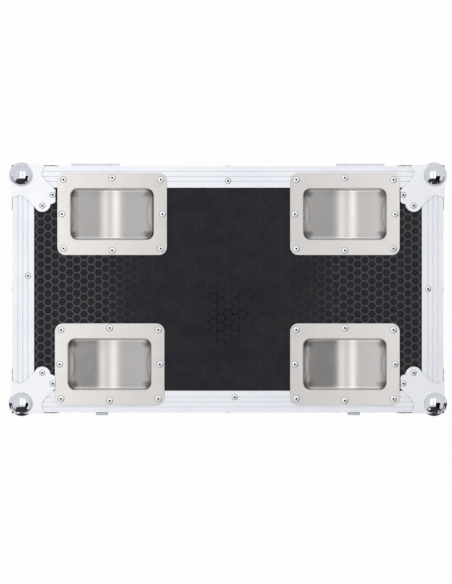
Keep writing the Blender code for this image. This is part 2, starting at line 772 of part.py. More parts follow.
def trough_drop(x):
    """How deep the trough is at a distance along X: two slopes that meet in a rounded valley."""
    slope = math.radians(DISH_FLOOR_DEGREES)
    valley_end = DISH_VALLEY_RADIUS * math.sin(slope)
    along = min(abs(x), valley_end)
    rise = DISH_VALLEY_RADIUS - math.sqrt(DISH_VALLEY_RADIUS**2 - along**2)
    return DISH_TROUGH_DROP - rise - (abs(x) - along) * math.tan(slope)


def add_castor_dishes(parent):
    """The four pressed dishes on the lid, their flanges lying on the edging."""
    flange = (DISH_FLANGE_LENGTH / 2, DISH_FLANGE_DEPTH / 2, DISH_FLANGE_RADIUS)
    mouth = (DISH_MOUTH_LENGTH / 2, DISH_MOUTH_DEPTH / 2, DISH_MOUTH_RADIUS)
    fillets = (DISH_END_FILLET, DISH_SIDE_FILLET)
    steps = (DISH_ARC_STEPS, DISH_LONG_STEPS)
    pattern = pressed_dish(
        flange, mouth, DISH_ROLL, fillets, DISH_FILLET_DROP, trough_drop, DISH_SHEET, steps
    )
    for x, y, name in dish_places():
        dish = shifted(pattern, (x, y, LID_TOP + GAP + DISH_SHEET))
        add_piece(f"castor_dish_{name}", dish, "stainless_steel", parent, smooth_degrees=35)
    pattern.free()


def add_hinges(parent):
    """Two hinges on the back: knuckles shared between the leaves, the pin in the base leaf."""
    lid_leaf = hinge_leaf(1)
    base_leaf = hinge_leaf(-1)
    half = HINGE_WIDTH / 2 - GAP * 2
    bore = circle(HINGE_PIN_RADIUS + GAP, HINGE_SIDES, (HINGE_AXIS_Y, SPLIT))
    pin = circle(HINGE_PIN_RADIUS, HINGE_SIDES, (HINGE_AXIS_Y, SPLIT))
    lid_leaf = cut(lid_leaf, prism(bore, along_x, -half, half))
    base_leaf = joined(base_leaf, prism(pin, along_x, -half, half))
    for sign, side in SIDE_SIGNS:
        offset = (sign * HINGE_SPREAD / 2, 0, 0)
        leaf = shifted(lid_leaf, offset)
        add_piece(f"hinge_lid_leaf_{side}", leaf, "zinc_steel", parent, smooth_degrees=40)
        leaf = shifted(base_leaf, offset)
        add_piece(f"hinge_base_leaf_{side}", leaf, "zinc_steel", smooth_degrees=40)
    lid_leaf.free()
    base_leaf.free()


def hinge_leaf(z_sign):
    """One leaf at X zero: a plate with its far corners cut, and a barrel on each of its tabs."""
    near = SPLIT + z_sign * (HINGE_KNUCKLE_RADIUS + GAP)
    far = SPLIT + z_sign * HINGE_LEAF
    half = HINGE_WIDTH / 2 - GAP
    trim = HINGE_LEAF_RADIUS
    outline = [
        (half, near),
        (half, far - z_sign * trim),
        (half - trim, far),
        (-half + trim, far),
        (-half, far - z_sign * trim),
        (-half, near),
    ]
    share = HINGE_WIDTH / HINGE_KNUCKLES
    barrels = []
    for knuckle in range(1 if z_sign > 0 else 0, HINGE_KNUCKLES, 2):
        start = -HINGE_WIDTH / 2 + knuckle * share + GAP
        end = start + share - GAP * 2
        tab = [(start, near), (start, SPLIT), (end, SPLIT), (end, near)]
        outline += [point for point in tab if abs(point[0]) < half - MERGE or point[1] == SPLIT]
        barrel = circle(HINGE_KNUCKLE_RADIUS, HINGE_SIDES, (HINGE_AXIS_Y, SPLIT))
        barrels.append(prism(barrel, along_x, start, end))
    if outline[-1][0] > half - MERGE:
        outline.pop(0)
    if z_sign < 0:
        outline.remove((-half, near))
    plate_y = (HALF_DEPTH + GAP, HALF_DEPTH + GAP + HINGE_SHEET)
    return joined(prism(outline, along_y, *plate_y), gathered(barrels))


def latch_flange(place, low, high, round_low):
    """The plate round a latch's recess, with two of its corners cut."""
    half = LATCH_FLANGE_WIDTH / 2
    trim = LATCH_FLANGE_RADIUS
    outline = [(place - half, low), (place + half, low), (place + half, high), (place - half, high)]
    if round_low:
        outline[0:2] = [
            (place - half, low + trim),
            (place - half + trim, low),
            (place + half - trim, low),
            (place + half, low + trim),
        ]
    else:
        outline[2:4] = [
            (place + half, high - trim),
            (place + half - trim, high),
            (place - half + trim, high),
            (place - half, high - trim),
        ]
    return prism(outline, along_y, LATCH_FRONT, -(HALF_DEPTH + GAP))


def latch_box(place, low, high, open_low):
    """A pressed recess behind a latch flange, open to the front and at the split."""
    half = LATCH_RECESS_WIDTH / 2
    outer = block(
        (place - half - LATCH_SHEET, place + half + LATCH_SHEET),
        (LATCH_FRONT + LATCH_SHEET / 2, RECESS_FLOOR + LATCH_SHEET),
        (low, high) if open_low else (low - LATCH_SHEET, high),
    )
    if open_low:
        outer = shifted_top(outer, high)
    inner_levels = (low - OVERRUN, high) if open_low else (low, high + OVERRUN)
    inner = block((place - half, place + half), (LATCH_FRONT - OVERRUN, RECESS_FLOOR), inner_levels)
    return outer, inner


def shifted_top(mesh, level):
    """Raise the top face of a box at a level by the latch's sheet."""
    top = [vert for vert in mesh.verts if abs(vert.co.z - level) < MERGE]
    bmesh.ops.translate(mesh, verts=top, vec=(0, 0, LATCH_SHEET))
    return mesh


def add_keeper(place, side, parent):
    """The lid's half of a latch: a flange, an open recess and the ledge that the hook pulls on."""
    high = LID_BOTTOM + KEEPER_RECESS_HEIGHT
    flange = latch_flange(place, LID_BOTTOM, high + LATCH_FLANGE_MARGIN, False)
    outer, inner = latch_box(place, LID_BOTTOM, high, True)
    half = LATCH_RECESS_WIDTH / 2 + LATCH_SHEET / 2
    ledge_y = (LEDGE_FRONT, RECESS_FLOOR + LATCH_SHEET / 2)
    ledge = block((place - half, place + half), ledge_y, (LID_BOTTOM, LEDGE_TOP))
    keeper = joined(cut(joined(flange, outer), inner), ledge)
    add_piece(f"latch_keeper_{side}", keeper, "zinc_steel", parent)


def add_latch_dish(place, side):
    """The base's half of a latch, with a bearing hole for the handle in its floor."""
    low = SPLIT - LATCH_DISH_DROP + LATCH_FLANGE_MARGIN
    flange = latch_flange(place, SPLIT - LATCH_DISH_DROP, SPLIT, True)
    outer, inner = latch_box(place, low, SPLIT, False)
    bore = circle(HUB_SPIGOT_RADIUS + GAP, HUB_SIDES, (place, HUB_LEVEL))
    hole = prism(bore, along_y, LATCH_FRONT, RECESS_FLOOR + OVERRUN)
    dish = cut(joined(flange, outer), inner, hole)
    add_piece(f"latch_dish_{side}", dish, "zinc_steel")


def add_latch_handle(place, side):
    """Two folded wings on a hub, which turns in the dish's floor."""
    pivot_point = (place, LATCH_FRONT, HUB_LEVEL)
    span = HANDLE_HALF_SPAN
    upper = [(place + u * span, HUB_LEVEL + v * span) for u, v in HANDLE_OUTLINE_SHARES]
    lower = [(place - u * span, HUB_LEVEL - v * span) for u, v in HANDLE_OUTLINE_SHARES]
    wings = prism(upper + lower, along_y, LATCH_FRONT, LATCH_FRONT + HANDLE_THICKNESS)
    middle = LATCH_FRONT + HANDLE_THICKNESS / 2
    hub_circle = circle(HUB_RADIUS, HUB_SIDES, (place, HUB_LEVEL))
    hub = prism(hub_circle, along_y, middle, RECESS_FLOOR - GAP)
    spigot_circle = circle(HUB_SPIGOT_RADIUS, HUB_SIDES, (place, HUB_LEVEL))
    spigot = prism(spigot_circle, along_y, middle, RECESS_FLOOR + LATCH_SHEET)
    handle = joined(wings, hub, spigot)
    add_piece(f"latch_handle_{side}", handle, "zinc_steel", axis_point=pivot_point)


def add_latch_tongue(place, side):
    """A slotted plate behind the handle, joggled out over the lid's ledge and hooked at its end."""
    thick = TONGUE_PLATE_THICKNESS
    back = TONGUE_FRONT
    front = -(HALF_DEPTH + TONGUE_PROUD)
    hook_low = LEDGE_TOP + GAP + TONGUE_SLIDE_DOWN
    hook_high = hook_low + HOOK_THICKNESS
    outline = [
        (back, HUB_LEVEL - TONGUE_PLATE_DROP),
        (back + thick, HUB_LEVEL - TONGUE_PLATE_DROP),
        (back + thick, SPLIT - TONGUE_JOGGLE_LOW + thick / 2),
        (front + thick, SPLIT - TONGUE_JOGGLE_HIGH + thick / 2),
        (front + thick, hook_low),
        (LEDGE_FRONT - GAP, hook_low),
        (LEDGE_FRONT - GAP, hook_high),
        (front + thick / 2, hook_high),
        (front, hook_high - thick / 2),
        (front, SPLIT - TONGUE_JOGGLE_HIGH),
        (back, SPLIT - TONGUE_JOGGLE_LOW),
    ]
    half = TONGUE_PLATE_WIDTH / 2
    plate = prism(outline, along_x, place - half, place + half)
    slot_half = HUB_RADIUS + GAP
    slot = block(
        (place - slot_half, place + slot_half),
        (back - thick, back + thick * 2),
        (HUB_LEVEL - slot_half, HUB_LEVEL + slot_half + TONGUE_SLIDE_DOWN),
    )
    add_piece(f"latch_tongue_{side}", cut(plate, slot), "zinc_steel", axis_point=(place, back, HUB_LEVEL))


def add_end_handle(sign, side):
    """A recessed dish in an end panel, and a bail on two pins that pass through its walls."""
    flange = (END_DISH_FLANGE_LENGTH / 2, END_DISH_FLANGE_HEIGHT / 2, END_DISH_FLANGE_RADIUS)
    mouth = (END_DISH_MOUTH_LENGTH / 2, END_DISH_MOUTH_HEIGHT / 2, END_DISH_MOUTH_RADIUS)
    fillets = (END_DISH_FILLET, END_DISH_FILLET)
    dish = pressed_dish(
        flange,
        mouth,
        END_DISH_ROLL,
        fillets,
        END_DISH_FILLET,
        lambda x: END_DISH_RECESS,
        END_DISH_SHEET,
        (END_DISH_ARC_STEPS, END_DISH_LONG_STEPS),
    )
    face = sign * (HALF_LENGTH + GAP + END_DISH_SHEET)
    upright = Matrix.Rotation(math.pi / 2, 4, "X")
    outward = Matrix.Rotation(sign * math.pi / 2, 4, "Z")
    place = Matrix.Translation((face, 0, END_DISH_LEVEL))
    bmesh.ops.transform(dish, matrix=place @ outward @ upright, verts=dish.verts[:])
    pivot_x = face - sign * BAIL_DEPTH
    reach = END_DISH_MOUTH_LENGTH / 2 + OVERRUN
    hole = prism(
        circle(BAIL_BAR_RADIUS + GAP, BAIL_SIDES, (pivot_x, BAIL_LEVEL)), along_y, -reach, reach
    )
    add_piece(f"handle_dish_{side}", cut(dish, hole), "zinc_steel", smooth_degrees=35)
    pin_end = END_DISH_MOUTH_LENGTH / 2
    arm = END_DISH_MOUTH_LENGTH / 2 - END_DISH_ROLL - BAIL_ARM_MARGIN - BAIL_BAR_RADIUS
    bend = BAIL_BEND_RADIUS
    low = BAIL_LEVEL - BAIL_REACH
    top_bend = arc((arm + bend, BAIL_LEVEL - bend), bend, 90, 180, BAIL_BEND_STEPS)
    low_bend = arc((arm - bend, low + bend), bend, 0, -90, BAIL_BEND_STEPS)
    half = [(pin_end, BAIL_LEVEL), *top_bend, *low_bend]
    path = half + [(-y, z) for y, z in reversed(half)]
    bar = tube([(pivot_x, y, z) for y, z in path], BAIL_BAR_RADIUS, BAIL_SIDES, (1, 0, 0))
    grip_circle = circle(BAIL_GRIP_RADIUS, BAIL_SIDES + 2, (pivot_x, low))
    grip = prism(grip_circle, along_y, -BAIL_GRIP_LENGTH / 2, BAIL_GRIP_LENGTH / 2)
    bail = joined(bar, grip)
    axis_point = (pivot_x, 0, BAIL_LEVEL)
    add_piece(f"handle_bail_{side}", bail, "grip_rubber", axis_point=axis_point, smooth_degrees=40)


def castor_plate():
    """The mounting plate with the upper race and the kingpin, about a swivel axis at the origin."""
    low = CASTOR_HEIGHT - CASTOR_PLATE_THICKNESS
    outline = rounded_rectangle(
        CASTOR_PLATE_LENGTH / 2, CASTOR_PLATE_DEPTH / 2, CASTOR_PLATE_RADIUS, 2
    )
    plate = prism(outline, along_z, low, CASTOR_HEIGHT)
    race_low = low - RACE_HEIGHT
    head_top = race_low - GAP - CROWN_HEIGHT - GAP
    middle = CASTOR_HEIGHT - CASTOR_PLATE_THICKNESS / 2
    profile = [
        (0, middle),
        (RACE_RADIUS, middle),
        (RACE_RADIUS, race_low + RACE_HEIGHT / 2),
        (RACE_RADIUS - RACE_HEIGHT / 2, race_low),
        (KINGPIN_RADIUS, race_low),
        (KINGPIN_RADIUS, head_top),
        (KINGPIN_HEAD_RADIUS, head_top),
        (KINGPIN_HEAD_RADIUS, head_top - KINGPIN_HEAD_HEIGHT),
        (0, head_top - KINGPIN_HEAD_HEIGHT),
    ]
    return joined(plate, turned(profile, TURNED_SEGMENTS, (0, 0, 0)))


def cheek_outline():
    """One cheek of a fork from the side: wide under the crown, narrowing to the axle boss."""
    crown_low = CASTOR_HEIGHT - CASTOR_PLATE_THICKNESS - RACE_HEIGHT - GAP - CROWN_HEIGHT
    top = crown_low + CROWN_HEIGHT / 2
    axle = (CASTOR_TRAIL, WHEEL_RADIUS)
    boss = arc(axle, CHEEK_BOSS_RADIUS, 20, -200, CHEEK_ARC_STEPS)
    rear = CASTOR_TRAIL + CHEEK_TOP_BEHIND_AXLE
    return [(-CHEEK_BACK, top), (rear, top), (rear, crown_low - CROWN_HEIGHT), *boss]


def castor_fork(with_brake):
    """The crown, two cheeks and the axle, with a pivot pin where a pedal is carried."""
    race_low = CASTOR_HEIGHT - CASTOR_PLATE_THICKNESS - RACE_HEIGHT
    crown_top = race_low - GAP
    crown_low = crown_top - CROWN_HEIGHT
    bore = KINGPIN_RADIUS + GAP
    profile = [
        (bore, crown_top),
        (CROWN_RADIUS - CROWN_CHAMFER, crown_top),
        (CROWN_RADIUS, crown_top - CROWN_CHAMFER),
        (CROWN_RADIUS, crown_low),
        (bore, crown_low),
    ]
    crown = turned(profile, TURNED_SEGMENTS, (0, 0, 0))
    inner = WHEEL_HUB_WIDTH / 2 + GAP
    outer = inner + CHEEK_THICKNESS
    cheeks = [
        prism(cheek_outline(), along_y, -outer, -inner),
        prism(cheek_outline(), along_y, inner, outer),
    ]
    slot = block((-CROWN_RADIUS - OVERRUN, CASTOR_TRAIL * 2), (-inner, inner), (WHEEL_RADIUS, crown_low))
    body = cut(joined(crown, *cheeks), slot)
    axle_centre = (CASTOR_TRAIL, WHEEL_RADIUS)
    end = outer + AXLE_HEAD_HEIGHT
    heads = prism(circle(AXLE_HEAD_RADIUS, 6, axle_centre), along_y, -end, end)
    heads = cut(heads, block((0, CASTOR_TRAIL * 2), (-inner, inner), (0, CASTOR_HEIGHT)))
    axle = prism(circle(AXLE_RADIUS, TURNED_SEGMENTS, axle_centre), along_y, -outer, outer)
    body = joined(body, heads, axle)
    if with_brake:
        pin = circle(PEDAL_PIN_RADIUS, HINGE_SIDES, pedal_pivot())
        body = joined(body, prism(pin, along_y, -inner - GAP, inner + GAP))
    return body


def castor_wheel():
    """A wheel with a soft tread, a waisted web and a bored hub."""
    half = WHEEL_WIDTH / 2
    hub = WHEEL_HUB_WIDTH / 2
    web = WHEEL_WEB_WIDTH / 2
    bore = AXLE_RADIUS + GAP
    side = [
        (bore, hub),
        (WHEEL_HUB_RADIUS, hub),
        (WHEEL_HUB_RADIUS + WHEEL_SHOULDER / 2, web),
        (WHEEL_RIM_RADIUS - WHEEL_SHOULDER / 2, web),
        (WHEEL_RIM_RADIUS, half),
        (WHEEL_RADIUS - WHEEL_SHOULDER, half),
        (WHEEL_RADIUS, half - WHEEL_SHOULDER),
    ]
    profile = side + [(radius, -height) for radius, height in reversed(side)]
    return turned(profile, WHEEL_SEGMENTS, (CASTOR_TRAIL, 0, WHEEL_RADIUS), "Y")


def pedal_pivot():
    """Where a brake pedal's pin crosses its fork, from the side."""
    x = CASTOR_TRAIL + PEDAL_PIVOT_BEHIND_AXLE
    distance = WHEEL_RADIUS + PEDAL_PIVOT_ABOVE_TYRE
    return (x, WHEEL_RADIUS + math.sqrt(distance**2 - PEDAL_PIVOT_BEHIND_AXLE**2))


def brake_pedal():
    """A lever drawn pressed down, with its shoe just off the tyre, then turned up to rest."""
    pivot_x, pivot_z = pedal_pivot()
    boss = prism(
        circle(PEDAL_BOSS_RADIUS, HINGE_SIDES, (pivot_x, pivot_z)),
        along_y,
        -PEDAL_WIDTH / 2,
        PEDAL_WIDTH / 2,
    )
    tip = pivot_x + PEDAL_ARM_LENGTH
    low = pivot_z - PEDAL_ARM_THICKNESS / 2
    high = pivot_z + PEDAL_ARM_THICKNESS / 2
    arm_outline = [
        (pivot_x, low),
        (tip, low),
        (tip + PEDAL_ARM_THICKNESS, high + PEDAL_ARM_THICKNESS),
        (tip, high + PEDAL_ARM_THICKNESS),
        (tip - PEDAL_ARM_THICKNESS, high),
        (pivot_x, high),
    ]
    arm = prism(arm_outline, along_y, -PEDAL_WIDTH / 2, PEDAL_WIDTH / 2)
    near = pivot_x - CASTOR_TRAIL + PEDAL_SHOE_DISTANCE
    far = near + PEDAL_SHOE_WIDTH
    clear = WHEEL_RADIUS + 2 * GAP
    shoe_outline = [
        (CASTOR_TRAIL + near, pivot_z),
        (CASTOR_TRAIL + near, WHEEL_RADIUS + math.sqrt(clear**2 - near**2)),
        (CASTOR_TRAIL + far, WHEEL_RADIUS + math.sqrt(clear**2 - far**2)),
        (CASTOR_TRAIL + far, pivot_z),
    ]
    shoe = prism(shoe_outline, along_y, -PEDAL_WIDTH / 2, PEDAL_WIDTH / 2)
    reach = PEDAL_WIDTH / 2 + OVERRUN
    bore_circle = circle(PEDAL_PIN_RADIUS + GAP, HINGE_SIDES, (pivot_x, pivot_z))
    pedal = cut(joined(boss, arm, shoe), prism(bore_circle, along_y, -reach, reach))
    raised = Matrix.Rotation(-math.radians(PEDAL_TURN_DEGREES), 3, "Y")
    bmesh.ops.rotate(pedal, verts=pedal.verts[:], cent=(pivot_x, 0, pivot_z), matrix=raised)
    return pedal


def add_castors():
    """Four castors, each trailing towards the middle so that a wheel stands under each dish."""
    plate_pattern = castor_plate()
    wheel_pattern = castor_wheel()
    for x_sign, y_sign, name in CORNER_SIGNS:
        with_brake = y_sign < 0
        heading = Matrix.Rotation(math.pi if x_sign > 0 else 0, 4, "Z")
        matrix = Matrix.Translation((x_sign * CASTOR_X, y_sign * CASTOR_Y, 0)) @ heading
        plate = plate_pattern.copy()
        fork = castor_fork(with_brake)
        wheel = wheel_pattern.copy()
        swivel = matrix @ Vector((0, 0, CASTOR_HEIGHT))
        axle = matrix @ Vector((CASTOR_TRAIL, 0, WHEEL_RADIUS))
        for mesh in (plate, fork, wheel):
            bmesh.ops.transform(mesh, matrix=matrix, verts=mesh.verts[:])
        add_piece(f"castor_plate_{name}", plate, "castor_steel", smooth_degrees=35)
        fork_pivot = add_pivot(f"castor_swivel_{name}", swivel)
        wheel_pivot = add_pivot(f"castor_axle_{name}", axle, fork_pivot)
        add_piece(f"castor_fork_{name}", fork, "castor_steel", fork_pivot, smooth_degrees=35)
        add_piece(f"castor_wheel_{name}", wheel, "wheel_rubber", wheel_pivot, smooth_degrees=35)
        if with_brake:
            pedal = brake_pedal()
            bmesh.ops.transform(pedal, matrix=matrix, verts=pedal.verts[:])
            pivot_x, pivot_z = pedal_pivot()
            hinge_point = matrix @ Vector((pivot_x, 0, pivot_z))
            pedal_empty = add_pivot(f"pedal_pivot_{name}", hinge_point, fork_pivot)
            add_piece(f"brake_pedal_{name}", pedal, "brake_plastic", pedal_empty)
    plate_pattern.free()
    wheel_pattern.free()


def add_lid(parent):
    """The lid's panels, edging, rim, corners, dishes, hinge leaves, keepers and foam."""
    add_piece("lid_edging", edging(LID_TOP, 1, LID_BOTTOM + RIM_OUTER_LEG + GAP), "anodised_aluminium", parent)
    rim = closing_rim(LID_BOTTOM, -1, RIM_LID_WEB, -TONGUE_HEIGHT)
    add_piece("lid_closing_rim", rim, "anodised_aluminium", parent)
    top = flat_panel(LID_TOP, 1)
    holes = dish_cutters(GAP, LID_TOP - PANEL_INNER - OVERRUN, LID_TOP + OVERRUN)
    add_piece("lid_top_panel", cut(top, holes), "black_laminate", parent)
    low = LID_BOTTOM + RIM_LID_WEB + GAP
    wall_panels("lid", low, LID_TOP - PANEL_INNER - GAP, parent, corner_tips(LID_TOP, 1))
    add_ball_corners("lid", LID_TOP, 1, parent)
    add_castor_dishes(parent)
    foam_x = HALF_LENGTH - PANEL_INNER - GAP
    foam_y = HALF_DEPTH - PANEL_INNER - GAP
    foam_top = LID_TOP - PANEL_INNER - GAP
    foam_low = foam_top - LID_FOAM_THICKNESS
    foam = block((-foam_x, foam_x), (-foam_y, foam_y), (foam_low, foam_top))
    foam = cut(foam, dish_cutters(FOAM_HOLE_CLEARANCE, foam_low - OVERRUN, foam_top + OVERRUN))
    add_piece("lid_foam_pad", foam, "black_foam", parent)


def add_base():
    """The base's panels, edging, rim, corners, foam and divider."""
    post_end = SPLIT - RIM_OUTER_LEG - GAP
    add_piece("base_edging", edging(BASE_BOTTOM, -1, post_end), "anodised_aluminium")
    rim = closing_rim(SPLIT, 1, RIM_BASE_WEB, TONGUE_HEIGHT + GAP)
    add_piece("base_closing_rim", rim, "anodised_aluminium")
    add_piece("base_bottom_panel", flat_panel(BASE_BOTTOM, -1), "black_laminate")
    low = BASE_BOTTOM + PANEL_INNER + GAP
    wall_panels("base", low, SPLIT - RIM_BASE_WEB - GAP, None, corner_tips(BASE_BOTTOM, -1))
    add_ball_corners("base", BASE_BOTTOM, -1, None)
    foam_x = HALF_LENGTH - PANEL_INNER - GAP
    foam_y = HALF_DEPTH - PANEL_INNER - GAP
    foam_top = low + BASE_FOAM_THICKNESS
    foam = block((-foam_x, foam_x), (-foam_y, foam_y), (low, foam_top))
    add_piece("base_foam_pad", foam, "black_foam")
    half = DIVIDER_SCOOP_WIDTH / 2
    top = SPLIT - DIVIDER_DROP
    outline = [(-foam_y, foam_top + GAP), (foam_y, foam_top + GAP), (foam_y, top)]
    scoop = arc((0, 0), 1, 0, -180, DIVIDER_SCOOP_STEPS)
    outline += [(half * u, top + DIVIDER_SCOOP_DEPTH * v) for u, v in scoop]
    outline.append((-foam_y, top))
    divider = prism(outline, along_x, -DIVIDER_THICKNESS / 2, DIVIDER_THICKNESS / 2)
    add_piece("divider", divider, "divider_wood")


def build():
    """Make the whole case."""
    clear_scene()
    lid_pivot = add_pivot("lid_hinge_axis", (0, HINGE_AXIS_Y, SPLIT))
    add_base()
    add_lid(lid_pivot)
    add_hinges(lid_pivot)
    for place, (_, side) in zip(latch_places(), SIDE_SIGNS):
        add_keeper(place, side, lid_pivot)
        add_latch_dish(place, side)
        add_latch_handle(place, side)
        add_latch_tongue(place, side)
    for sign, side in SIDE_SIGNS:
        add_end_handle(sign, side)
    add_castors()


build()
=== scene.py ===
"""The looks of the lighting flight case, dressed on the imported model's frame."""

from __future__ import annotations

import json
import logging
import math
from dataclasses import dataclass
from enum import Enum
from typing import Callable, Iterable, Sequence

import bmesh
import bpy
from mathutils import Matrix, Vector

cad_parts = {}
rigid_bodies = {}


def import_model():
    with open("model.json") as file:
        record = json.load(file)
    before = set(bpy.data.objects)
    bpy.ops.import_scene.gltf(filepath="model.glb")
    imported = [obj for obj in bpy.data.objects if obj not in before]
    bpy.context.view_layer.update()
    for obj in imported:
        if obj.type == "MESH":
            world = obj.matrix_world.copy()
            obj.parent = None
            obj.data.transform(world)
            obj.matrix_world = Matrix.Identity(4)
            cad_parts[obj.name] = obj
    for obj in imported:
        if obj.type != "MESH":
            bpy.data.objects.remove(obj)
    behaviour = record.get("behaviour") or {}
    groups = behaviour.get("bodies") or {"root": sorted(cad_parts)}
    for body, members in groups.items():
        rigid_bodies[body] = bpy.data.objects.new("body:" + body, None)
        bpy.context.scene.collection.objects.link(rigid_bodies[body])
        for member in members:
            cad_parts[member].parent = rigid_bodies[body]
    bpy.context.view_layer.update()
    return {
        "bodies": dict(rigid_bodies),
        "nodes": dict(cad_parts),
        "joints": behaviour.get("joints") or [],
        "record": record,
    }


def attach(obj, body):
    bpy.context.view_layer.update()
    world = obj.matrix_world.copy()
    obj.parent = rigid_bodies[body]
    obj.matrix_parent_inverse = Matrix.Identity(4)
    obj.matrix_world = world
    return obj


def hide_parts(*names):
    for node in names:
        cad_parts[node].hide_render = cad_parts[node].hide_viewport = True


LOG = logging.getLogger("flight_case")
Colour = tuple[float, float, float]
Pair = tuple[float, float]
Socket = bpy.types.NodeSocket
Material = bpy.types.Material
Mesh = bmesh.types.BMesh
Data = bpy.types.Mesh

MM = 0.001
MERGE = 1e-6
SEAT = 0.2 * MM
CASE_HALF_X = 350 * MM
CASE_HALF_Y = 200 * MM
DISH_X = 191 * MM
DISH_Y = 122 * MM
DISH_LEVEL = 659.8 * MM
LID_TOP = 658 * MM
BASE_BOTTOM = 128 * MM
SPLIT = 548 * MM
EDGING_MIDDLE = 17.5 * MM
FITTING_FACE = 201.8 * MM
QUARTER = math.pi / 2
UPRIGHT = Matrix.Rotation(QUARTER, 4, "X")
UP = Vector((0, 0, 1))


class Half(Enum):
    """The two halves of the case."""

    LID = "lid"
    BASE = "base"


class Corner(Enum):
    """The four corners in plan, each with the signs of its X and Y."""

    BACK_LEFT = (-1, 1)
    BACK_RIGHT = (1, 1)
    FRONT_RIGHT = (1, -1)
    FRONT_LEFT = (-1, -1)


class Side(Enum):
    """The two ends of the case, with the sign of their X."""

    LEFT = -1
    RIGHT = 1


class Grain(Enum):
    """How the brush marks of a metal run on a piece, with the turn that lays them so."""

    ALONG_X = (0.0, 0.0, 0.0)
    ALONG_Y = (0.0, 0.0, QUARTER)
    ALONG_Z = (0.0, QUARTER, 0.0)
    ROUND_THE_CASE = None


class Face(Enum):
    """The side of the case that a panel closes, with the turn that lays its pattern flat."""

    TOP = (0.0, 0.0, 0.0)
    FRONT = (QUARTER, 0.0, 0.0)
    END = (0.0, QUARTER, 0.0)


class Graph:
    """A short way to write one node tree."""

    def __init__(self, tree: bpy.types.NodeTree) -> None:
        """Start on a tree."""
        self.tree = tree

    def fill(self, node: bpy.types.Node, inputs: dict) -> bpy.types.Node:
        """Link or set some of a node's inputs.

        Args:
            node: The node.
            inputs: Sockets or plain values, by name or number.

        Returns:
            The same node.
        """
        for key, value in inputs.items():
            if isinstance(value, Socket):
                self.tree.links.new(value, node.inputs[key])
            else:
                node.inputs[key].default_value = value
        return node

    def add(self, kind: str, inputs: dict | None = None, **settings: object) -> bpy.types.Node:
        """Add one node.

        Args:
            kind: The node's type name.
            inputs: Sockets or plain values for its inputs, by name or number.
            settings: Attributes of the node.

        Returns:
            The new node.
        """
        node = self.tree.nodes.new(kind)
        for name, value in settings.items():
            setattr(node, name, value)
        return self.fill(node, inputs or {})

    def math(self, operation: str, *values: object, clamp: bool = False) -> Socket:
        """A Math node on one to three values."""
        node = self.add("ShaderNodeMath", dict(enumerate(values)), operation=operation, use_clamp=clamp)
        return node.outputs[0]

    def plus(self, first: object, second: object) -> Socket:
        """The sum of two values."""
        return self.math("ADD", first, second)

    def minus(self, first: object, second: object) -> Socket:
        """The first value less the second."""
        return self.math("SUBTRACT", first, second)

    def times(self, first: object, *others: object) -> Socket:
        """The product of several values."""
        for other in others:
            first = self.math("MULTIPLY", first, other)
        return first

    def scaled(self, value: object, factor: object, offset: object, clamp: bool = False) -> Socket:
        """A value times a factor, with an offset added."""
        return self.math("MULTIPLY_ADD", value, factor, offset, clamp=clamp)

    def vector(self, operation: str, *values: object) -> Socket:
        """A Vector Math node on one to three vectors."""
        return self.add("ShaderNodeVectorMath", dict(enumerate(values)), operation=operation).outputs[0]

    def length(self, vector: Socket) -> Socket:
        """How long a vector is."""
        return self.add("ShaderNodeVectorMath", {0: vector}, operation="LENGTH").outputs["Value"]

    def mix(self, kind: str, factor: object, first: object, second: object) -> Socket:
        """A colour, a number or a vector between two others."""
        slot, out = {"RGBA": (6, 2), "FLOAT": (2, 0), "VECTOR": (4, 1)}[kind]
        node = self.add("ShaderNodeMix", {0: factor, slot: first, slot + 1: second}, data_type=kind)
        return node.outputs[out]

    def blend(self, factor: object, first: object, second: object) -> Socket:
        """A colour between two colours, each a socket or three numbers."""
        ends = [end if isinstance(end, Socket) else (*end, 1.0) for end in (first, second)]
        return self.mix("RGBA", factor, *ends)

    def smooth(self, value: object, low: float, high: float) -> Socket:
        """A smooth step from 0 to 1 as a value passes two marks."""
        inputs = {0: value, 1: low, 2: high, 3: 0.0, 4: 1.0}
        return self.add("ShaderNodeMapRange", inputs, interpolation_type="SMOOTHSTEP", clamp=True).outputs[0]

    def noise(self, vector: Socket, scale: object, detail: float, roughness: float = 0.5) -> Socket:
        """A noise value about 0.5."""
        inputs = {"Vector": vector, "Scale": scale, "Detail": detail, "Roughness": roughness}
        return self.add("ShaderNodeTexNoise", inputs).outputs[0]

    def place(self, vector: Socket, scale: Sequence[float] = (1, 1, 1),
              turn: Sequence[float] = (0, 0, 0)) -> Socket:
        """A Mapping node, which turns or stretches a pattern."""
        return self.add("ShaderNodeMapping", {"Vector": vector, "Rotation": turn, "Scale": scale}).outputs[0]

    def split(self, vector: Socket) -> list[Socket]:
        """The three parts of a vector."""
        return list(self.add("ShaderNodeSeparateXYZ", {0: vector}).outputs)


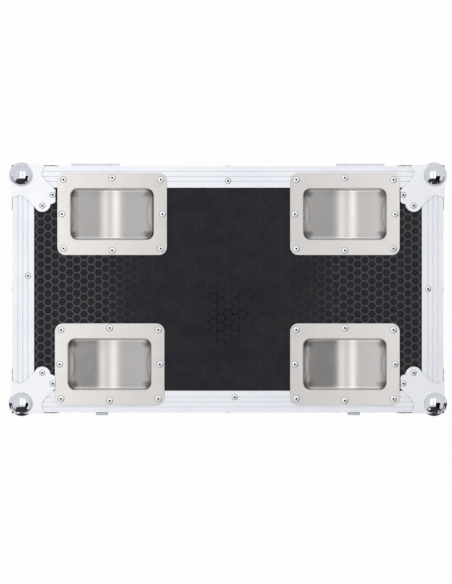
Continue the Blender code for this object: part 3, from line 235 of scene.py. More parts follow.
class SharedEffects:
    """Shader node groups that more than one finish uses, each built once."""

    def __init__(self) -> None:
        """Start with no group built."""
        self.built: dict[str, bpy.types.NodeTree] = {}

    def get(self, name: str) -> bpy.types.NodeTree:
        """A group's tree, built when it is first asked for."""
        makers = {"speckle": self.speckle, "brushing": self.brushing, "edge_wear": self.edge_wear,
                  "hexagons": self.hexagons}
        if name not in self.built:
            makers[name]()
        return self.built[name]

    def begin(self, name: str, inputs: dict[str, object],
              outputs: Sequence[str]) -> tuple[Graph, bpy.types.NodeOutputs, bpy.types.Node]:
        """Make an empty group with its sockets, a Vector first.

        Args:
            name: The group's name.
            inputs: The value of each input, a number or a vector, by name.
            outputs: The name of each output, all numbers.

        Returns:
            The graph of the group, the sockets of its inputs and its output node.
        """
        tree = bpy.data.node_groups.new(name, "ShaderNodeTree")
        tree.interface.new_socket("Vector", in_out="INPUT", socket_type="NodeSocketVector")
        for label, value in inputs.items():
            kind = "NodeSocketVector" if isinstance(value, tuple) else "NodeSocketFloat"
            tree.interface.new_socket(label, in_out="INPUT", socket_type=kind).default_value = value
        for label in outputs:
            tree.interface.new_socket(label, in_out="OUTPUT", socket_type="NodeSocketFloat")
        self.built[name] = tree
        graph = Graph(tree)
        return graph, graph.add("NodeGroupInput").outputs, graph.add("NodeGroupOutput")

    def speckle(self) -> None:
        """Colour that drifts in clouds with fine specks on it."""
        sizes = {"Clouds": 12.0, "Specks": 900.0, "Amount": 0.5}
        graph, entry, end = self.begin("speckle", sizes, ("Mask", "Fine"))
        clouds = graph.noise(entry["Vector"], entry["Clouds"], 4.0, 0.55)
        specks = graph.noise(entry["Vector"], entry["Specks"], 2.0)
        both = graph.mix("FLOAT", entry["Amount"], clouds, specks)
        graph.fill(end, {"Mask": graph.smooth(both, 0.3, 0.7), "Fine": specks})

    def brushing(self) -> None:
        """Long fine brush marks along the vector's X."""
        graph, entry, end = self.begin("brushing", {"Along": (8.0, 900.0, 900.0)}, ("Marks", "Streaks"))
        stretched = graph.vector("MULTIPLY", entry["Vector"], entry["Along"])
        broad = graph.vector("MULTIPLY", stretched, (0.4, 0.16, 0.16))
        streaks = graph.smooth(graph.noise(broad, 1.0, 2.0), 0.3, 0.7)
        graph.fill(end, {"Marks": graph.noise(stretched, 1.0, 3.0, 0.65), "Streaks": streaks})

    def edge_wear(self) -> None:
        """A broken mask along the outer edges of a piece."""
        graph, entry, end = self.begin("edge_wear", {"Scale": 60.0, "Amount": 0.6}, ("Mask",))
        edge = graph.smooth(graph.add("ShaderNodeNewGeometry").outputs["Pointiness"], 0.51, 0.57)
        breaks = graph.smooth(graph.noise(entry["Vector"], entry["Scale"], 4.0, 0.6), 0.4, 0.62)
        worn = graph.math("MULTIPLY", graph.times(edge, breaks), entry["Amount"], clamp=True)
        graph.fill(end, {"Mask": worn})

    def hexagons(self) -> None:
        """Hexagon outlines in the XY plane, with points left and right."""
        sizes = {"Side": 7.8 * MM, "Line": 0.8 * MM, "Soft": 0.25 * MM}
        graph, entry, end = self.begin("hexagons", sizes, ("Mask",))
        root, side = math.sqrt(3.0), entry["Side"]
        steps = {0: graph.times(side, 3.0), 1: graph.times(side, root), 2: 1000.0}
        pitch = graph.add("ShaderNodeCombineXYZ", steps)
        half = graph.vector("MULTIPLY", pitch.outputs[0], (0.5, 0.5, 0.5))
        back = graph.vector("MULTIPLY", pitch.outputs[0], (-0.5, -0.5, -0.5))
        flat = graph.vector("MULTIPLY", entry["Vector"], (1.0, 1.0, 0.0))
        first = graph.vector("WRAP", flat, half, back)
        second = graph.vector("WRAP", graph.vector("SUBTRACT", flat, half), half, back)
        second = graph.vector("MULTIPLY", second, (1.0, 1.0, 0.0))
        nearer = graph.math("LESS_THAN", graph.length(second), graph.length(first))
        cell = graph.vector("ABSOLUTE", graph.mix("VECTOR", nearer, first, second))
        across, up, _ = graph.split(cell)
        slanted = graph.plus(graph.times(across, root / 2), graph.times(up, 0.5))
        inner = graph.minus(graph.times(side, root / 2), graph.math("MAXIMUM", up, slanted))
        ramp = graph.math("DIVIDE", graph.minus(entry["Line"], inner), entry["Soft"])
        graph.fill(end, {"Mask": graph.smooth(ramp, -0.5, 0.5)})


EFFECTS = SharedEffects()


class Look:
    """A material begun with a graph, Object coordinates and a Principled shader."""

    def __init__(self, name: str) -> None:
        """Make the material and its fixed nodes."""
        self.material = bpy.data.materials.new(name)
        self.material.use_nodes = True
        self.material.node_tree.nodes.clear()
        self.graph = Graph(self.material.node_tree)
        self.coords = self.graph.add("ShaderNodeTexCoord").outputs["Object"]
        self.shader = self.graph.add("ShaderNodeBsdfPrincipled")
        self.output = self.graph.add("ShaderNodeOutputMaterial", {0: self.shader.outputs[0]})

    def effect(self, name: str, **inputs: object) -> bpy.types.NodeOutputs:
        """Place a shared effect, on the Object coordinates unless it is given a Vector.

        Args:
            name: The group's name.
            inputs: Its values by name.

        Returns:
            The sockets that it puts out.
        """
        node = self.graph.add("ShaderNodeGroup", node_tree=EFFECTS.get(name))
        return self.graph.fill(node, {"Vector": self.coords, **inputs}).outputs

    def constant(self, **values: float) -> None:
        """Set plain numbers on the shader's own sockets."""
        self.graph.fill(self.shader, {name.replace("_", " "): value for name, value in values.items()})

    def feed(self, name: str, socket: Socket) -> None:
        """Link a varying value to one of the shader's sockets."""
        self.graph.fill(self.shader, {name: socket})

    def bump(self, height: Socket, distance: float, strength: float = 1.0) -> None:
        """Raise the surface by a height."""
        inputs = {"Height": height, "Distance": distance, "Strength": strength}
        self.feed("Normal", self.graph.add("ShaderNodeBump", inputs).outputs[0])


class Finish:
    """What every finish of the case shares."""

    def build(self, name: str) -> Material:
        """A procedural material of this finish."""
        look = Look(name)
        self.shade(look)
        return look.material

    def shade(self, look: Look) -> None:
        """Write the finish's own nodes."""
        raise NotImplementedError


@dataclass(frozen=True)
class Metal(Finish):
    """A bare or plated metal, with brush marks, stains, wear and small dents; the castor dishes' metal also
    has painted shade and painted highlights.
    """

    colour: Colour
    stain: Colour
    roughness: float
    spread: float = 0.08
    grain: Grain = Grain.ALONG_X
    mark_depth: float = 0.004 * MM
    dent_depth: float = 0.0
    dent_scale: float = 40.0
    cloud_scale: float = 14.0
    worn: Colour = (0.92, 0.92, 0.92)
    wear: float = 0.3
    # The next two colours are the castor dishes' painted shade and painted highlights.
    painted_shade: Colour | None = None
    painted_highlight: Colour = (0.95, 0.94, 0.92)

    @staticmethod
    def painted_dish_light(look: Look) -> tuple[Socket, Socket]:
        """Painted shade and painted highlights inside the castor dishes.

        Their corners get painted shade and a painted dark arc of shade runs across each end;
        the ends and the long fillets get painted highlights.

        Args:
            look: The look that is being shaded.

        Returns:
            The painted shade mask and the painted highlight mask.
        """
        graph = look.graph
        x, y, z = graph.split(graph.vector("ABSOLUTE", look.coords))
        along = graph.math("ABSOLUTE", graph.minus(x, DISH_X))
        across = graph.math("ABSOLUTE", graph.minus(y, DISH_Y))
        ragged = graph.scaled(graph.noise(look.coords, 160.0, 2.0), 10 * MM, along)
        inward = graph.times(graph.smooth(across, 24 * MM, 32 * MM), graph.smooth(across, 40 * MM, 36 * MM))
        corner = graph.times(graph.smooth(ragged, 54 * MM, 66 * MM), inward)
        bowed = graph.minus(along, graph.times(graph.math("POWER", across, 2.0), 8.0))
        arc = graph.times(graph.smooth(bowed, 56 * MM, 59 * MM), graph.smooth(bowed, 62 * MM, 59.5 * MM),
                          0.30)
        end = graph.times(graph.smooth(bowed, 60 * MM, 62 * MM), graph.smooth(across, 30 * MM, 26 * MM), 0.4)
        fillet = graph.times(graph.smooth(across, 36 * MM, 37.5 * MM), graph.smooth(along, 62 * MM, 52 * MM),
                             0.8)
        sunk = graph.smooth(z, DISH_LEVEL - 1.5 * MM, DISH_LEVEL - 3 * MM)
        pairs = ((corner, arc), (end, fillet))
        painted_shade_mask, painted_highlight_mask = (graph.times(graph.math("MAXIMUM", *pair), sunk) for pair in pairs)
        return painted_shade_mask, painted_highlight_mask

    def directions(self, look: Look) -> Socket:
        """The coordinates whose X runs along the brush marks.

        Args:
            look: The look that is being shaded.

        Returns:
            The turned coordinates.
        """
        graph = look.graph
        if self.grain is not Grain.ROUND_THE_CASE:
            return graph.place(look.coords, turn=self.grain.value)
        across = graph.place(look.coords, turn=Grain.ALONG_Y.value)
        upright = graph.place(look.coords, turn=Grain.ALONG_Z.value)
        x, y, z = graph.split(graph.vector("ABSOLUTE", look.coords))
        on_end = graph.math("LESS_THAN", graph.minus(CASE_HALF_X, x), graph.minus(CASE_HALF_Y, y))
        over_ring = graph.math("GREATER_THAN", z, BASE_BOTTOM + 35 * MM)
        on_post = graph.times(over_ring, graph.math("LESS_THAN", z, SPLIT - 24 * MM))
        return graph.mix("VECTOR", on_post, graph.mix("VECTOR", on_end, look.coords, across), upright)

    def shade(self, look: Look) -> None:
        """Write the metal's nodes.

        Args:
            look: The look to shade.
        """
        graph = look.graph
        brush = look.effect("brushing", Vector=self.directions(look))
        speck = look.effect("speckle", Clouds=self.cloud_scale, Specks=600.0, Amount=0.25)
        wear = look.effect("edge_wear", Scale=90.0, Amount=self.wear)
        stains_and_painted_light = graph.blend(speck["Mask"], self.colour, self.stain)
        # On the castor dishes, painted shade and painted highlights are mixed into the colour.
        if self.painted_shade:
            painted_shade_mask, painted_highlight_mask = self.painted_dish_light(look)
            stains_and_painted_light = graph.blend(painted_highlight_mask, graph.blend(painted_shade_mask, stains_and_painted_light, self.painted_shade), self.painted_highlight)
        streaks_and_painted_light = graph.blend(graph.times(brush["Streaks"], 0.25), stains_and_painted_light, self.stain)
        look.feed("Base Color", graph.blend(wear["Mask"], streaks_and_painted_light, self.worn))
        rough = graph.scaled(brush["Marks"], self.spread, self.roughness - self.spread / 2)
        look.feed("Roughness", graph.scaled(speck["Mask"], self.spread / 2, rough, clamp=True))
        look.constant(Metallic=1.0)
        height = brush["Marks"]
        if self.dent_depth:
            dents = graph.noise(look.coords, self.dent_scale, 1.0, 0.4)
            height = graph.plus(height, graph.times(dents, self.dent_depth / self.mark_depth))
        look.bump(height, self.mark_depth)


@dataclass(frozen=True)
class HexagonLaminate(Finish):
    """Black laminated plywood with a glossier net of hexagon lines pressed into its film."""

    face: Face
    middle: float
    below: bool = False
    ground: Colour = (0.0340, 0.0350, 0.0455)
    line: Colour = (0.0022, 0.0022, 0.0026)
    inner: Colour = (0.012, 0.012, 0.013)
    worn: Colour = (0.05, 0.048, 0.046)
    half_line: float = 0.85 * MM

    def shade(self, look: Look) -> None:
        """Write the film's nodes, and plain board on the panel's inner side.

        Args:
            look: The look to shade.
        """
        graph = look.graph
        flat = graph.place(look.coords, turn=self.face.value)
        net = look.effect("hexagons", Vector=flat, Line=self.half_line)
        axis = {Face.TOP: 2, Face.FRONT: 1, Face.END: 0}[self.face]
        depth = graph.math("ABSOLUTE", graph.split(look.coords)[axis])
        outside = graph.math("LESS_THAN" if self.below else "GREATER_THAN", depth, self.middle)
        mask = graph.times(net["Mask"], outside)
        speck = look.effect("speckle", Clouds=9.0, Specks=1400.0, Amount=0.35)
        wear = look.effect("edge_wear", Scale=45.0, Amount=0.4)
        darker = tuple(part * 0.90 for part in self.ground)
        drift = graph.blend(graph.times(speck["Mask"], 0.6), self.ground, darker)
        plain = graph.blend(outside, self.inner, graph.blend(mask, drift, self.line))
        look.feed("Base Color", graph.blend(wear["Mask"], plain, self.worn))
        look.feed("Roughness", graph.scaled(speck["Fine"], 0.10, 0.55))
        look.constant(IOR=1.16, Coat_IOR=1.58, Coat_Roughness=0.10)
        look.feed("Coat Weight", graph.times(mask, 0.95))
        look.bump(speck["Fine"], 0.02 * MM, 0.2)


@dataclass(frozen=True)
class Moulded(Finish):
    """Rubber or plastic from a mould, slightly mottled, dusty and scuffed at its edges."""

    colour: Colour
    bloom: Colour
    scuff: Colour
    roughness: float
    texture_depth: float = 0.03 * MM

    def shade(self, look: Look) -> None:
        """Write the moulding's nodes.

        Args:
            look: The look to shade.
        """
        graph = look.graph
        speck = look.effect("speckle", Clouds=30.0, Specks=1500.0, Amount=0.3)
        wear = look.effect("edge_wear", Scale=120.0, Amount=0.5)
        body = graph.blend(graph.times(speck["Mask"], 0.5), self.colour, self.bloom)
        look.feed("Base Color", graph.blend(wear["Mask"], body, self.scuff))
        look.feed("Roughness", graph.scaled(speck["Mask"], 0.12, self.roughness))
        look.bump(speck["Fine"], self.texture_depth, 0.6)


@dataclass(frozen=True)
class Foam(Finish):
    """Open-celled foam, with small pits between its cell walls."""

    colour: Colour = (0.020, 0.020, 0.022)
    light: Colour = (0.045, 0.045, 0.048)
    cell: float = 700.0

    def shade(self, look: Look) -> None:
        """Write the foam's nodes.

        Args:
            look: The look to shade.
        """
        graph = look.graph
        cells = graph.add("ShaderNodeTexVoronoi", {"Vector": look.coords, "Scale": self.cell})
        walls = graph.smooth(cells.outputs["Distance"], 0.15, 0.6)
        speck = look.effect("speckle", Clouds=16.0, Specks=500.0, Amount=0.3)
        # The pits are painted darker than the cell walls: painted shade in the pits.
        body = graph.blend(walls, self.colour, self.light)
        look.feed("Base Color", graph.blend(graph.times(speck["Mask"], 0.4), body, self.colour))
        look.feed("Roughness", graph.mix("FLOAT", walls, 0.95, 0.85))
        look.constant(Sheen_Weight=0.25)
        look.bump(walls, 0.35 * MM, 0.8)


@dataclass(frozen=True)
class Plywood(Finish):
    """Birch plywood: rings on the faces and dark and light plies on the edges."""

    light: Colour = (0.56, 0.40, 0.24)
    dark: Colour = (0.36, 0.23, 0.12)
    pore: Colour = (0.2, 0.12, 0.06)
    ply: float = 3 * MM

    def shade(self, look: Look) -> None:
        """Write the wood's nodes.

        Args:
            look: The look to shade.
        """
        graph = look.graph
        figure = graph.noise(graph.place(look.coords, scale=(60.0, 3.0, 26.0)), 2.2, 5.0, 0.6)
        rings = graph.smooth(graph.math("SINE", graph.times(figure, 42.0)), -0.9, 0.9)
        pores = graph.noise(graph.place(look.coords, scale=(900.0, 60.0, 900.0)), 1.0, 2.0, 0.6)
        plies = graph.math("SINE", graph.times(graph.split(look.coords)[0], 2 * math.pi / self.ply))
        mix = graph.math("ADD", graph.times(rings, 0.6), graph.times(plies, 0.2), clamp=True)
        pored = graph.smooth(pores, 0.62, 0.75)
        grained = graph.blend(mix, self.light, self.dark)
        look.feed("Base Color", graph.blend(graph.times(pored, 0.5), grained, self.pore))
        look.feed("Roughness", graph.mix("FLOAT", pored, 0.45, 0.7))
        look.bump(graph.minus(figure, pored), 0.05 * MM, 0.5)


class Finishes:
    """Every finish of the case, built once and handed out by name."""

    def __init__(self) -> None:
        """Build them all."""
        galvanised = (0.62, 0.63, 0.66)
        self.aluminium = Metal((0.885, 0.892, 0.906), (0.855, 0.865, 0.883), 0.50, grain=Grain.ROUND_THE_CASE,
                               mark_depth=0.003 * MM, wear=0.2).build("anodised_aluminium_look")
        # The pressed dishes get painted shade in their corners and on an arc at each end, and painted
        # highlights on their ends and long fillets.
        self.pressed = Metal((0.640, 0.619, 0.584), (0.665, 0.632, 0.59), 0.31, spread=0.10, cloud_scale=55.0,
                             dent_depth=0.05 * MM, dent_scale=34.0, wear=0.1, mark_depth=0.002 * MM,
                             painted_shade=(0.20, 0.19, 0.18)).build("pressed_stainless")
        self.corner_flange = Metal((0.886, 0.888, 0.892), (0.856, 0.861, 0.871), 0.48, dent_depth=0.02 * MM,
                                   mark_depth=0.002 * MM, wear=0.1).build("corner_flange_plate")
        self.ball = Metal((0.95, 0.96, 0.98), (0.92, 0.93, 0.955), -0.02, spread=0.03, mark_depth=0.0006 * MM,
                          dent_depth=0.03 * MM, dent_scale=90.0, wear=0.0).build("chromed_ball")
        self.rivet = Metal((0.88, 0.88, 0.88), (0.78, 0.78, 0.79), 0.32, mark_depth=0.002 * MM,
                           wear=0.2).build("rivet_steel")
        # Painted shade for the corner flanges' side faces, standing for the shadow gap along their edges.
        self.seam = Moulded((0.10, 0.10, 0.105), (0.16, 0.16, 0.165), (0.2, 0.2, 0.2),
                            0.7).build("seam_grime")
        # The rivets' second material is painted shade for their pin holes and the shadow ring round each
        # head.
        self.hole = Moulded((0.006, 0.006, 0.006), (0.012, 0.012, 0.012), (0.02, 0.02, 0.02),
                            0.8).build("rivet_hole")
        self.zinc = Metal((0.80, 0.81, 0.85), (0.71, 0.72, 0.77), 0.40, spread=0.12, cloud_scale=70.0,
                          dent_depth=0.01 * MM, wear=0.4).build("zinc_plate")
        # The hinges' zinc is the latches' zinc painted lighter, a lit copy of the same plating so that the
        # knuckles read bright from above.
        self.hinge = Metal((0.95, 0.96, 0.98), (0.91, 0.92, 0.945), 0.46, wear=0.2).build("hinge_zinc")
        self.castor = Metal(galvanised, (0.50, 0.52, 0.57), 0.36, spread=0.14, cloud_scale=60.0,
                            grain=Grain.ALONG_Z, wear=0.4).build("castor_zinc")
        self.end_dish = Metal(galvanised, (0.52, 0.54, 0.58), 0.30, grain=Grain.ALONG_Y, cloud_scale=50.0,
                              dent_depth=0.03 * MM).build("handle_dish_zinc")
        self.tyre = Moulded((0.016, 0.016, 0.017), (0.032, 0.031, 0.030), (0.09, 0.085, 0.08),
                            0.62).build("tyre_rubber")
        self.hub = Moulded((0.20, 0.205, 0.21), (0.26, 0.265, 0.27), (0.4, 0.4, 0.4),
                           0.42).build("wheel_nylon")
        self.grip = Moulded((0.014, 0.014, 0.015), (0.028, 0.028, 0.028), (0.08, 0.08, 0.08), 0.6,
                            texture_depth=0.06 * MM).build("grip_rubber_look")
        self.brake = Moulded((0.35, 0.018, 0.014), (0.30, 0.02, 0.016), (0.5, 0.12, 0.1),
                             0.38).build("brake_plastic_look")
        self.foam = Foam().build("cut_foam")
        self.wood = Plywood().build("birch_plywood")
        walls = {"front": (Face.FRONT, 195 * MM), "back": (Face.FRONT, 195 * MM),
                 "left": (Face.END, 345 * MM), "right": (Face.END, 345 * MM)}
        self.panels = {"lid_top_panel": HexagonLaminate(Face.TOP, 652 * MM),
                       "base_bottom_panel": HexagonLaminate(Face.TOP, 133.5 * MM, below=True)}
        self.panels |= {f"{half.value}_{wall}_panel": HexagonLaminate(*place)
                        for half in Half for wall, place in walls.items()}


def stored(mesh: Mesh, name: str) -> Data:
    """A mesh kept as named data; the mesh itself is freed."""
    data = bpy.data.meshes.new(name)
    mesh.to_mesh(data)
    mesh.free()
    return data


def shown(name: str, data: bpy.types.ID) -> bpy.types.Object:
    """A new object in the scene."""
    made = bpy.data.objects.new(name, data)
    bpy.context.scene.collection.objects.link(made)
    return made


def moved(mesh: Mesh, matrix: Matrix) -> Mesh:
    """The same mesh, transformed."""
    bmesh.ops.transform(mesh, matrix=matrix, verts=mesh.verts[:])
    return mesh


def joined(mesh: Mesh, other: Mesh, number: int = 0) -> None:
    """Add another mesh to a mesh and free it.

    Args:
        mesh: The mesh that grows.
        other: The mesh that is added.
        number: What is added to the material numbers of its faces.
    """
    data = stored(other, "part")
    first = len(mesh.faces)
    mesh.from_mesh(data)
    bpy.data.meshes.remove(data)
    mesh.faces.ensure_lookup_table()
    for face in mesh.faces[first:]:
        face.material_index += number


def placed(mesh: Mesh, template: Data, where: Vector, outward: Vector, turn: float = 0.0) -> None:
    """Add a template to a mesh, its Z axis turned outward.

    Args:
        mesh: The mesh that grows.
        template: The shape to add.
        where: The seat of the shape.
        outward: The direction of its Z axis.
        turn: How far it is turned about its own axis.
    """
    first = len(mesh.verts)
    mesh.from_mesh(template)
    mesh.verts.ensure_lookup_table()
    tilt = outward.to_track_quat("Z", "Y").to_matrix().to_4x4()
    frame = Matrix.Translation(where) @ tilt @ Matrix.Rotation(turn, 4, "Z")
    bmesh.ops.transform(mesh, matrix=frame, verts=mesh.verts[first:])


def bevelled(mesh: Mesh, parts: Iterable, width: float, segments: int = 2, affect: str = "EDGES") -> None:
    """Round some edges or corners of a mesh."""
    bmesh.ops.bevel(mesh, geom=list(parts), offset=width, offset_type="OFFSET", segments=segments,
                    profile=0.5, affect=affect, clamp_overlap=affect == "EDGES", material=-1)


def sharp_edges(mesh: Mesh, angle: float) -> list[bmesh.types.BMEdge]:
    """The edges past an angle in degrees."""
    limit = math.radians(angle)
    return [edge for edge in mesh.edges if edge.is_manifold and edge.calc_face_angle(0.0) > limit]


def verts_of(parts: Iterable) -> list[bmesh.types.BMVert]:
    """The vertices among what an operator made."""
    return [part for part in parts if isinstance(part, bmesh.types.BMVert)]


def edges_between(parts: Iterable) -> list[bmesh.types.BMEdge]:
    """The edges among what an operator made, with both ends there too."""
    ends = set(verts_of(parts))
    return [part for part in parts if isinstance(part, bmesh.types.BMEdge) and ends.issuperset(part.verts)]


def slab(points: Iterable[Sequence[float]], lift: Sequence[float]) -> Mesh:
    """A plate from one face, extruded along a vector.

    Args:
        points: The corners of the face in order.
        lift: The way to its other face.

    Returns:
        The plate.
    """
    mesh = bmesh.new()
    face = mesh.faces.new([mesh.verts.new(point) for point in points])
    made = bmesh.ops.extrude_face_region(mesh, geom=[face])["geom"]
    bmesh.ops.translate(mesh, vec=lift, verts=verts_of(made))
    bmesh.ops.recalc_face_normals(mesh, faces=mesh.faces[:])
    return mesh


def extruded(outline: Iterable[Pair], low: float, high: float, rounding: float) -> Mesh:
    """A plate from an outline in the XY plane, with rounded rims.

    Args:
        outline: The points in order.
        low: The height of its lower face.
        high: The height of its upper face.
        rounding: How wide its rims are rounded.

    Returns:
        The plate.
    """
    mesh = slab([(x, y, low) for x, y in outline], (0, 0, high - low))
    level = [edge for edge in mesh.edges if abs(edge.verts[0].co.z - edge.verts[1].co.z) < MERGE]
    bevelled(mesh, level, rounding)
    return mesh


def turned(profile: Sequence[Pair], sides: int, ring: bool = False) -> Mesh:
    """A closed shape spun from a profile about the Z axis.

    Args:
        profile: Radius and height of each point.
        sides: How many faces go round.
        ring: Whether the profile's last point joins its first.

    Returns:
        The spun mesh.
    """
    mesh = bmesh.new()
    points = [mesh.verts.new((radius, 0.0, height)) for radius, height in profile]
    edges = [mesh.edges.new(pair) for pair in zip(points, points[1:] + points[:1] if ring else points[1:])]
    bmesh.ops.spin(mesh, geom=points + edges, cent=(0, 0, 0), axis=(0, 0, 1), dvec=(0, 0, 0),
                   angle=2 * math.pi, steps=sides, use_merge=True, use_duplicate=False)
    bmesh.ops.remove_doubles(mesh, verts=mesh.verts[:], dist=MERGE)
    bmesh.ops.dissolve_degenerate(mesh, dist=MERGE, edges=mesh.edges[:])
    bmesh.ops.recalc_face_normals(mesh, faces=mesh.faces[:])
    return mesh


def mm(*points: Pair) -> list[Pair]:
    """Points given in millimetres."""
    return [(first * MM, second * MM) for first, second in points]


def both_ways(half: Sequence[Pair]) -> list[Pair]:
    """A profile with its mirror image below it."""
    return [*half, *((radius, -height) for radius, height in reversed(half))]


def bend(centre: Pair, radius: float, first: float, last: float, steps: int) -> list[Pair]:
    """Points along an arc, given in degrees."""
    turns = [math.radians(first + (last - first) * step / steps) for step in range(steps + 1)]
    return [(centre[0] + radius * math.cos(turn), centre[1] + radius * math.sin(turn)) for turn in turns]


def tube(path: Sequence[Vector], radius: float, sides: int, across: Vector) -> Mesh:
    """A round bar along a flat path, its ends closed.

    Args:
        path: The points of its centre line.
        radius: How thick it is.
        sides: How many faces go round.
        across: The direction square to the path's plane.

    Returns:
        The bar.
    """
    frames = []
    for number, point in enumerate(path):
        before = (point - path[number - 1]).normalized() if number else None
        after = (path[number + 1] - point).normalized() if number + 1 < len(path) else None
        along = ((before or after) + (after or before)).normalized()
        side = along.cross(across).normalized() / max(along.dot(before or after), 0.5)
        turn = Matrix((side, across, along)).transposed().to_4x4()
        frames.append(Matrix.Translation(point) @ turn)
    mesh = bmesh.new()
    bmesh.ops.create_circle(mesh, segments=sides, radius=radius)
    moved(mesh, frames[0])
    first = edges = mesh.edges[:]
    for old, new in zip(frames, frames[1:]):
        made = bmesh.ops.extrude_edge_only(mesh, edges=edges)["geom"]
        bmesh.ops.transform(mesh, matrix=new @ old.inverted(), verts=verts_of(made))
        edges = edges_between(made)
    bmesh.ops.holes_fill(mesh, edges=first + edges)
    return mesh


def brick(low: Sequence[float], high: Sequence[float], rounding: float) -> Mesh:
    """A box between two corners with its edges rounded, for ribs and bridges.

    Args:
        low: The corner with the least coordinates.
        high: The corner with the greatest.
        rounding: How wide the edges are rounded.

    Returns:
        The box.
    """
    mesh = bmesh.new()
    bmesh.ops.create_cube(mesh, size=1.0)
    size = Vector(high) - Vector(low)
    moved(mesh, Matrix.Translation(Vector(low) + size / 2) @ Matrix.Diagonal((*size, 1)))
    bevelled(mesh, mesh.edges, rounding)
    return mesh


class Workshop:
    """Turns bmeshes into finished pieces that ride on the frame."""

    def __init__(self, frame: dict, finishes: Finishes) -> None:
        """Keep the frame's nodes and the finishes."""
        self.nodes: dict[str, bpy.types.Object] = frame["nodes"]
        self.finishes = finishes

    def dress(self, node: str, finish: Material) -> None:
        """Give a CAD node, kept as it is, a finish."""
        slots = self.nodes[node].data.materials
        if not slots:
            slots.append(finish)
        for index in range(len(slots)):
            slots[index] = finish
        LOG.info("dressed %s with %s", node, finish.name)

    def piece(self, mesh: Mesh, name: str, body: str, slot: str, finishes: Sequence[Material],
              replaced: Iterable[str] = (), sharp: float = 35.0, sheet: float = 0.0,
              rounding: float = 0.0) -> bpy.types.Object:
        """Make a finished piece.

        Args:
            mesh: The shape, which is freed.
            name: The piece's name.
            body: The CAD body that it rides on.
            slot: The record's material slot; not used.
            finishes: The materials, in the order of the faces' numbers.
            replaced: The CAD nodes that it stands for.
            sharp: The angle in degrees past which an edge stays sharp.
            sheet: The wall of an open shell, or nothing.
            rounding: The width of a bevel on the sharp edges, or nothing.

        Returns:
            The piece's object.
        """
        bmesh.ops.remove_doubles(mesh, verts=mesh.verts[:], dist=MERGE)
        bmesh.ops.recalc_face_normals(mesh, faces=mesh.faces[:])
        data = stored(mesh, name)
        for polygon in data.polygons:
            polygon.use_smooth = True
        data.set_sharp_from_angle(angle=math.radians(sharp))
        for finish in finishes:
            data.materials.append(finish)
        made = shown(name, data)
        if sheet:
            shell = made.modifiers.new("sheet", "SOLIDIFY")
            shell.thickness = sheet
            shell.offset = -1.0
        if rounding:
            bevel = made.modifiers.new("rounding", "BEVEL")
            bevel.width = rounding
            bevel.segments = 2
            bevel.limit_method = "ANGLE"
            bevel.angle_limit = math.radians(40)
            bevel.harden_normals = False
        weighted = made.modifiers.new("flat_faces", "WEIGHTED_NORMAL")
        weighted.mode = "FACE_AREA"
        weighted.keep_sharp = True
        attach(made, body)
        if replaced:
            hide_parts(*replaced)
        LOG.info("built %s on %s", name, body)
        return made

    def rivets(self, mesh: Mesh, name: str, body: str, slot: str) -> None:
        """Make a piece of rivet heads."""
        self.piece(mesh, name, body, slot, [self.finishes.rivet, self.finishes.hole], sharp=50)

    def copied(self, node: str, rounding: float, segments: int = 2) -> Mesh:
        """A merged copy of a CAD node, its flat faces rejoined and its edges rounded.

        Args:
            node: The node to copy.
            rounding: How wide the rounding is, or nothing.
            segments: How many faces the rounding has.

        Returns:
            The copy.
        """
        mesh = bmesh.new()
        mesh.from_mesh(self.nodes[node].data)
        bmesh.ops.remove_doubles(mesh, verts=mesh.verts[:], dist=5 * MERGE)
        bmesh.ops.dissolve_limit(mesh, angle_limit=math.radians(1.5), verts=mesh.verts[:],
                                 edges=mesh.edges[:])
        if rounding:
            bevelled(mesh, sharp_edges(mesh, 30), rounding, segments)
        return mesh

    def refine(self, node: str, body: str, slot: str, finish: Material, rounding: float,
               segments: int = 2, name: str | None = None) -> bpy.types.Object:
        """Replace a CAD node with its rounded copy.

        Args:
            node: The node to stand for.
            body: The body that it rides on.
            slot: Its material slot.
            finish: Its material.
            rounding: How wide its edges are rounded.
            segments: How many faces the rounding has.
            name: The piece's name, or nothing for the node's own with an ending.

        Returns:
            The piece's object.
        """
        mesh = self.copied(node, rounding, segments)
        return self.piece(mesh, name or f"{node}_rounded", body, slot, [finish], [node])


@dataclass
class Assembly:
    """A sub-assembly of the case, and the workshop that makes its pieces."""

    shop: Workshop

    def build(self) -> None:
        """Build the sub-assembly's pieces."""
        raise NotImplementedError


@dataclass(frozen=True)
class BlindRivet:
    """A pulled rivet's domed head, with the hole that its pin leaves painted dark as painted shade, and a
    painted shadow ring round its rim.
    """

    radius: float
    height: float = 1.25 * MM
    hole: float = 1.75 * MM
    # The width of the painted shadow ring round the head's rim.
    painted_shadow_ring: float = 0.35 * MM

    def template(self) -> Data:
        """The head about the Z axis, its seat at the origin."""
        radius, height, hole = self.radius, self.height, self.hole
        data = stored(turned([
            (0.0, -SEAT), (radius + self.painted_shadow_ring, -SEAT), (radius + self.painted_shadow_ring * 0.9, 0.06 * MM),
            (radius * 0.985, 0.08 * MM), (radius, height * 0.25), (radius * 0.88, height * 0.62),
            (radius * 0.62, height * 0.9), (hole + 0.35 * MM, height), (hole, height * 0.9),
            (hole * 0.92, height * 0.1), (0.0, height * 0.05),
        ], 18), "rivet_head")
        # Material 1 is painted shade: near black inside the pin's hole, and a painted shadow ring round the
        # rim.
        for polygon in data.polygons:
            x, y, z = polygon.center
            from_axis = math.hypot(x, y)
            if from_axis < hole and z > -SEAT / 2 or from_axis > radius * 0.98 and z < 0.1 * MM:
                polygon.material_index = 1
        return data


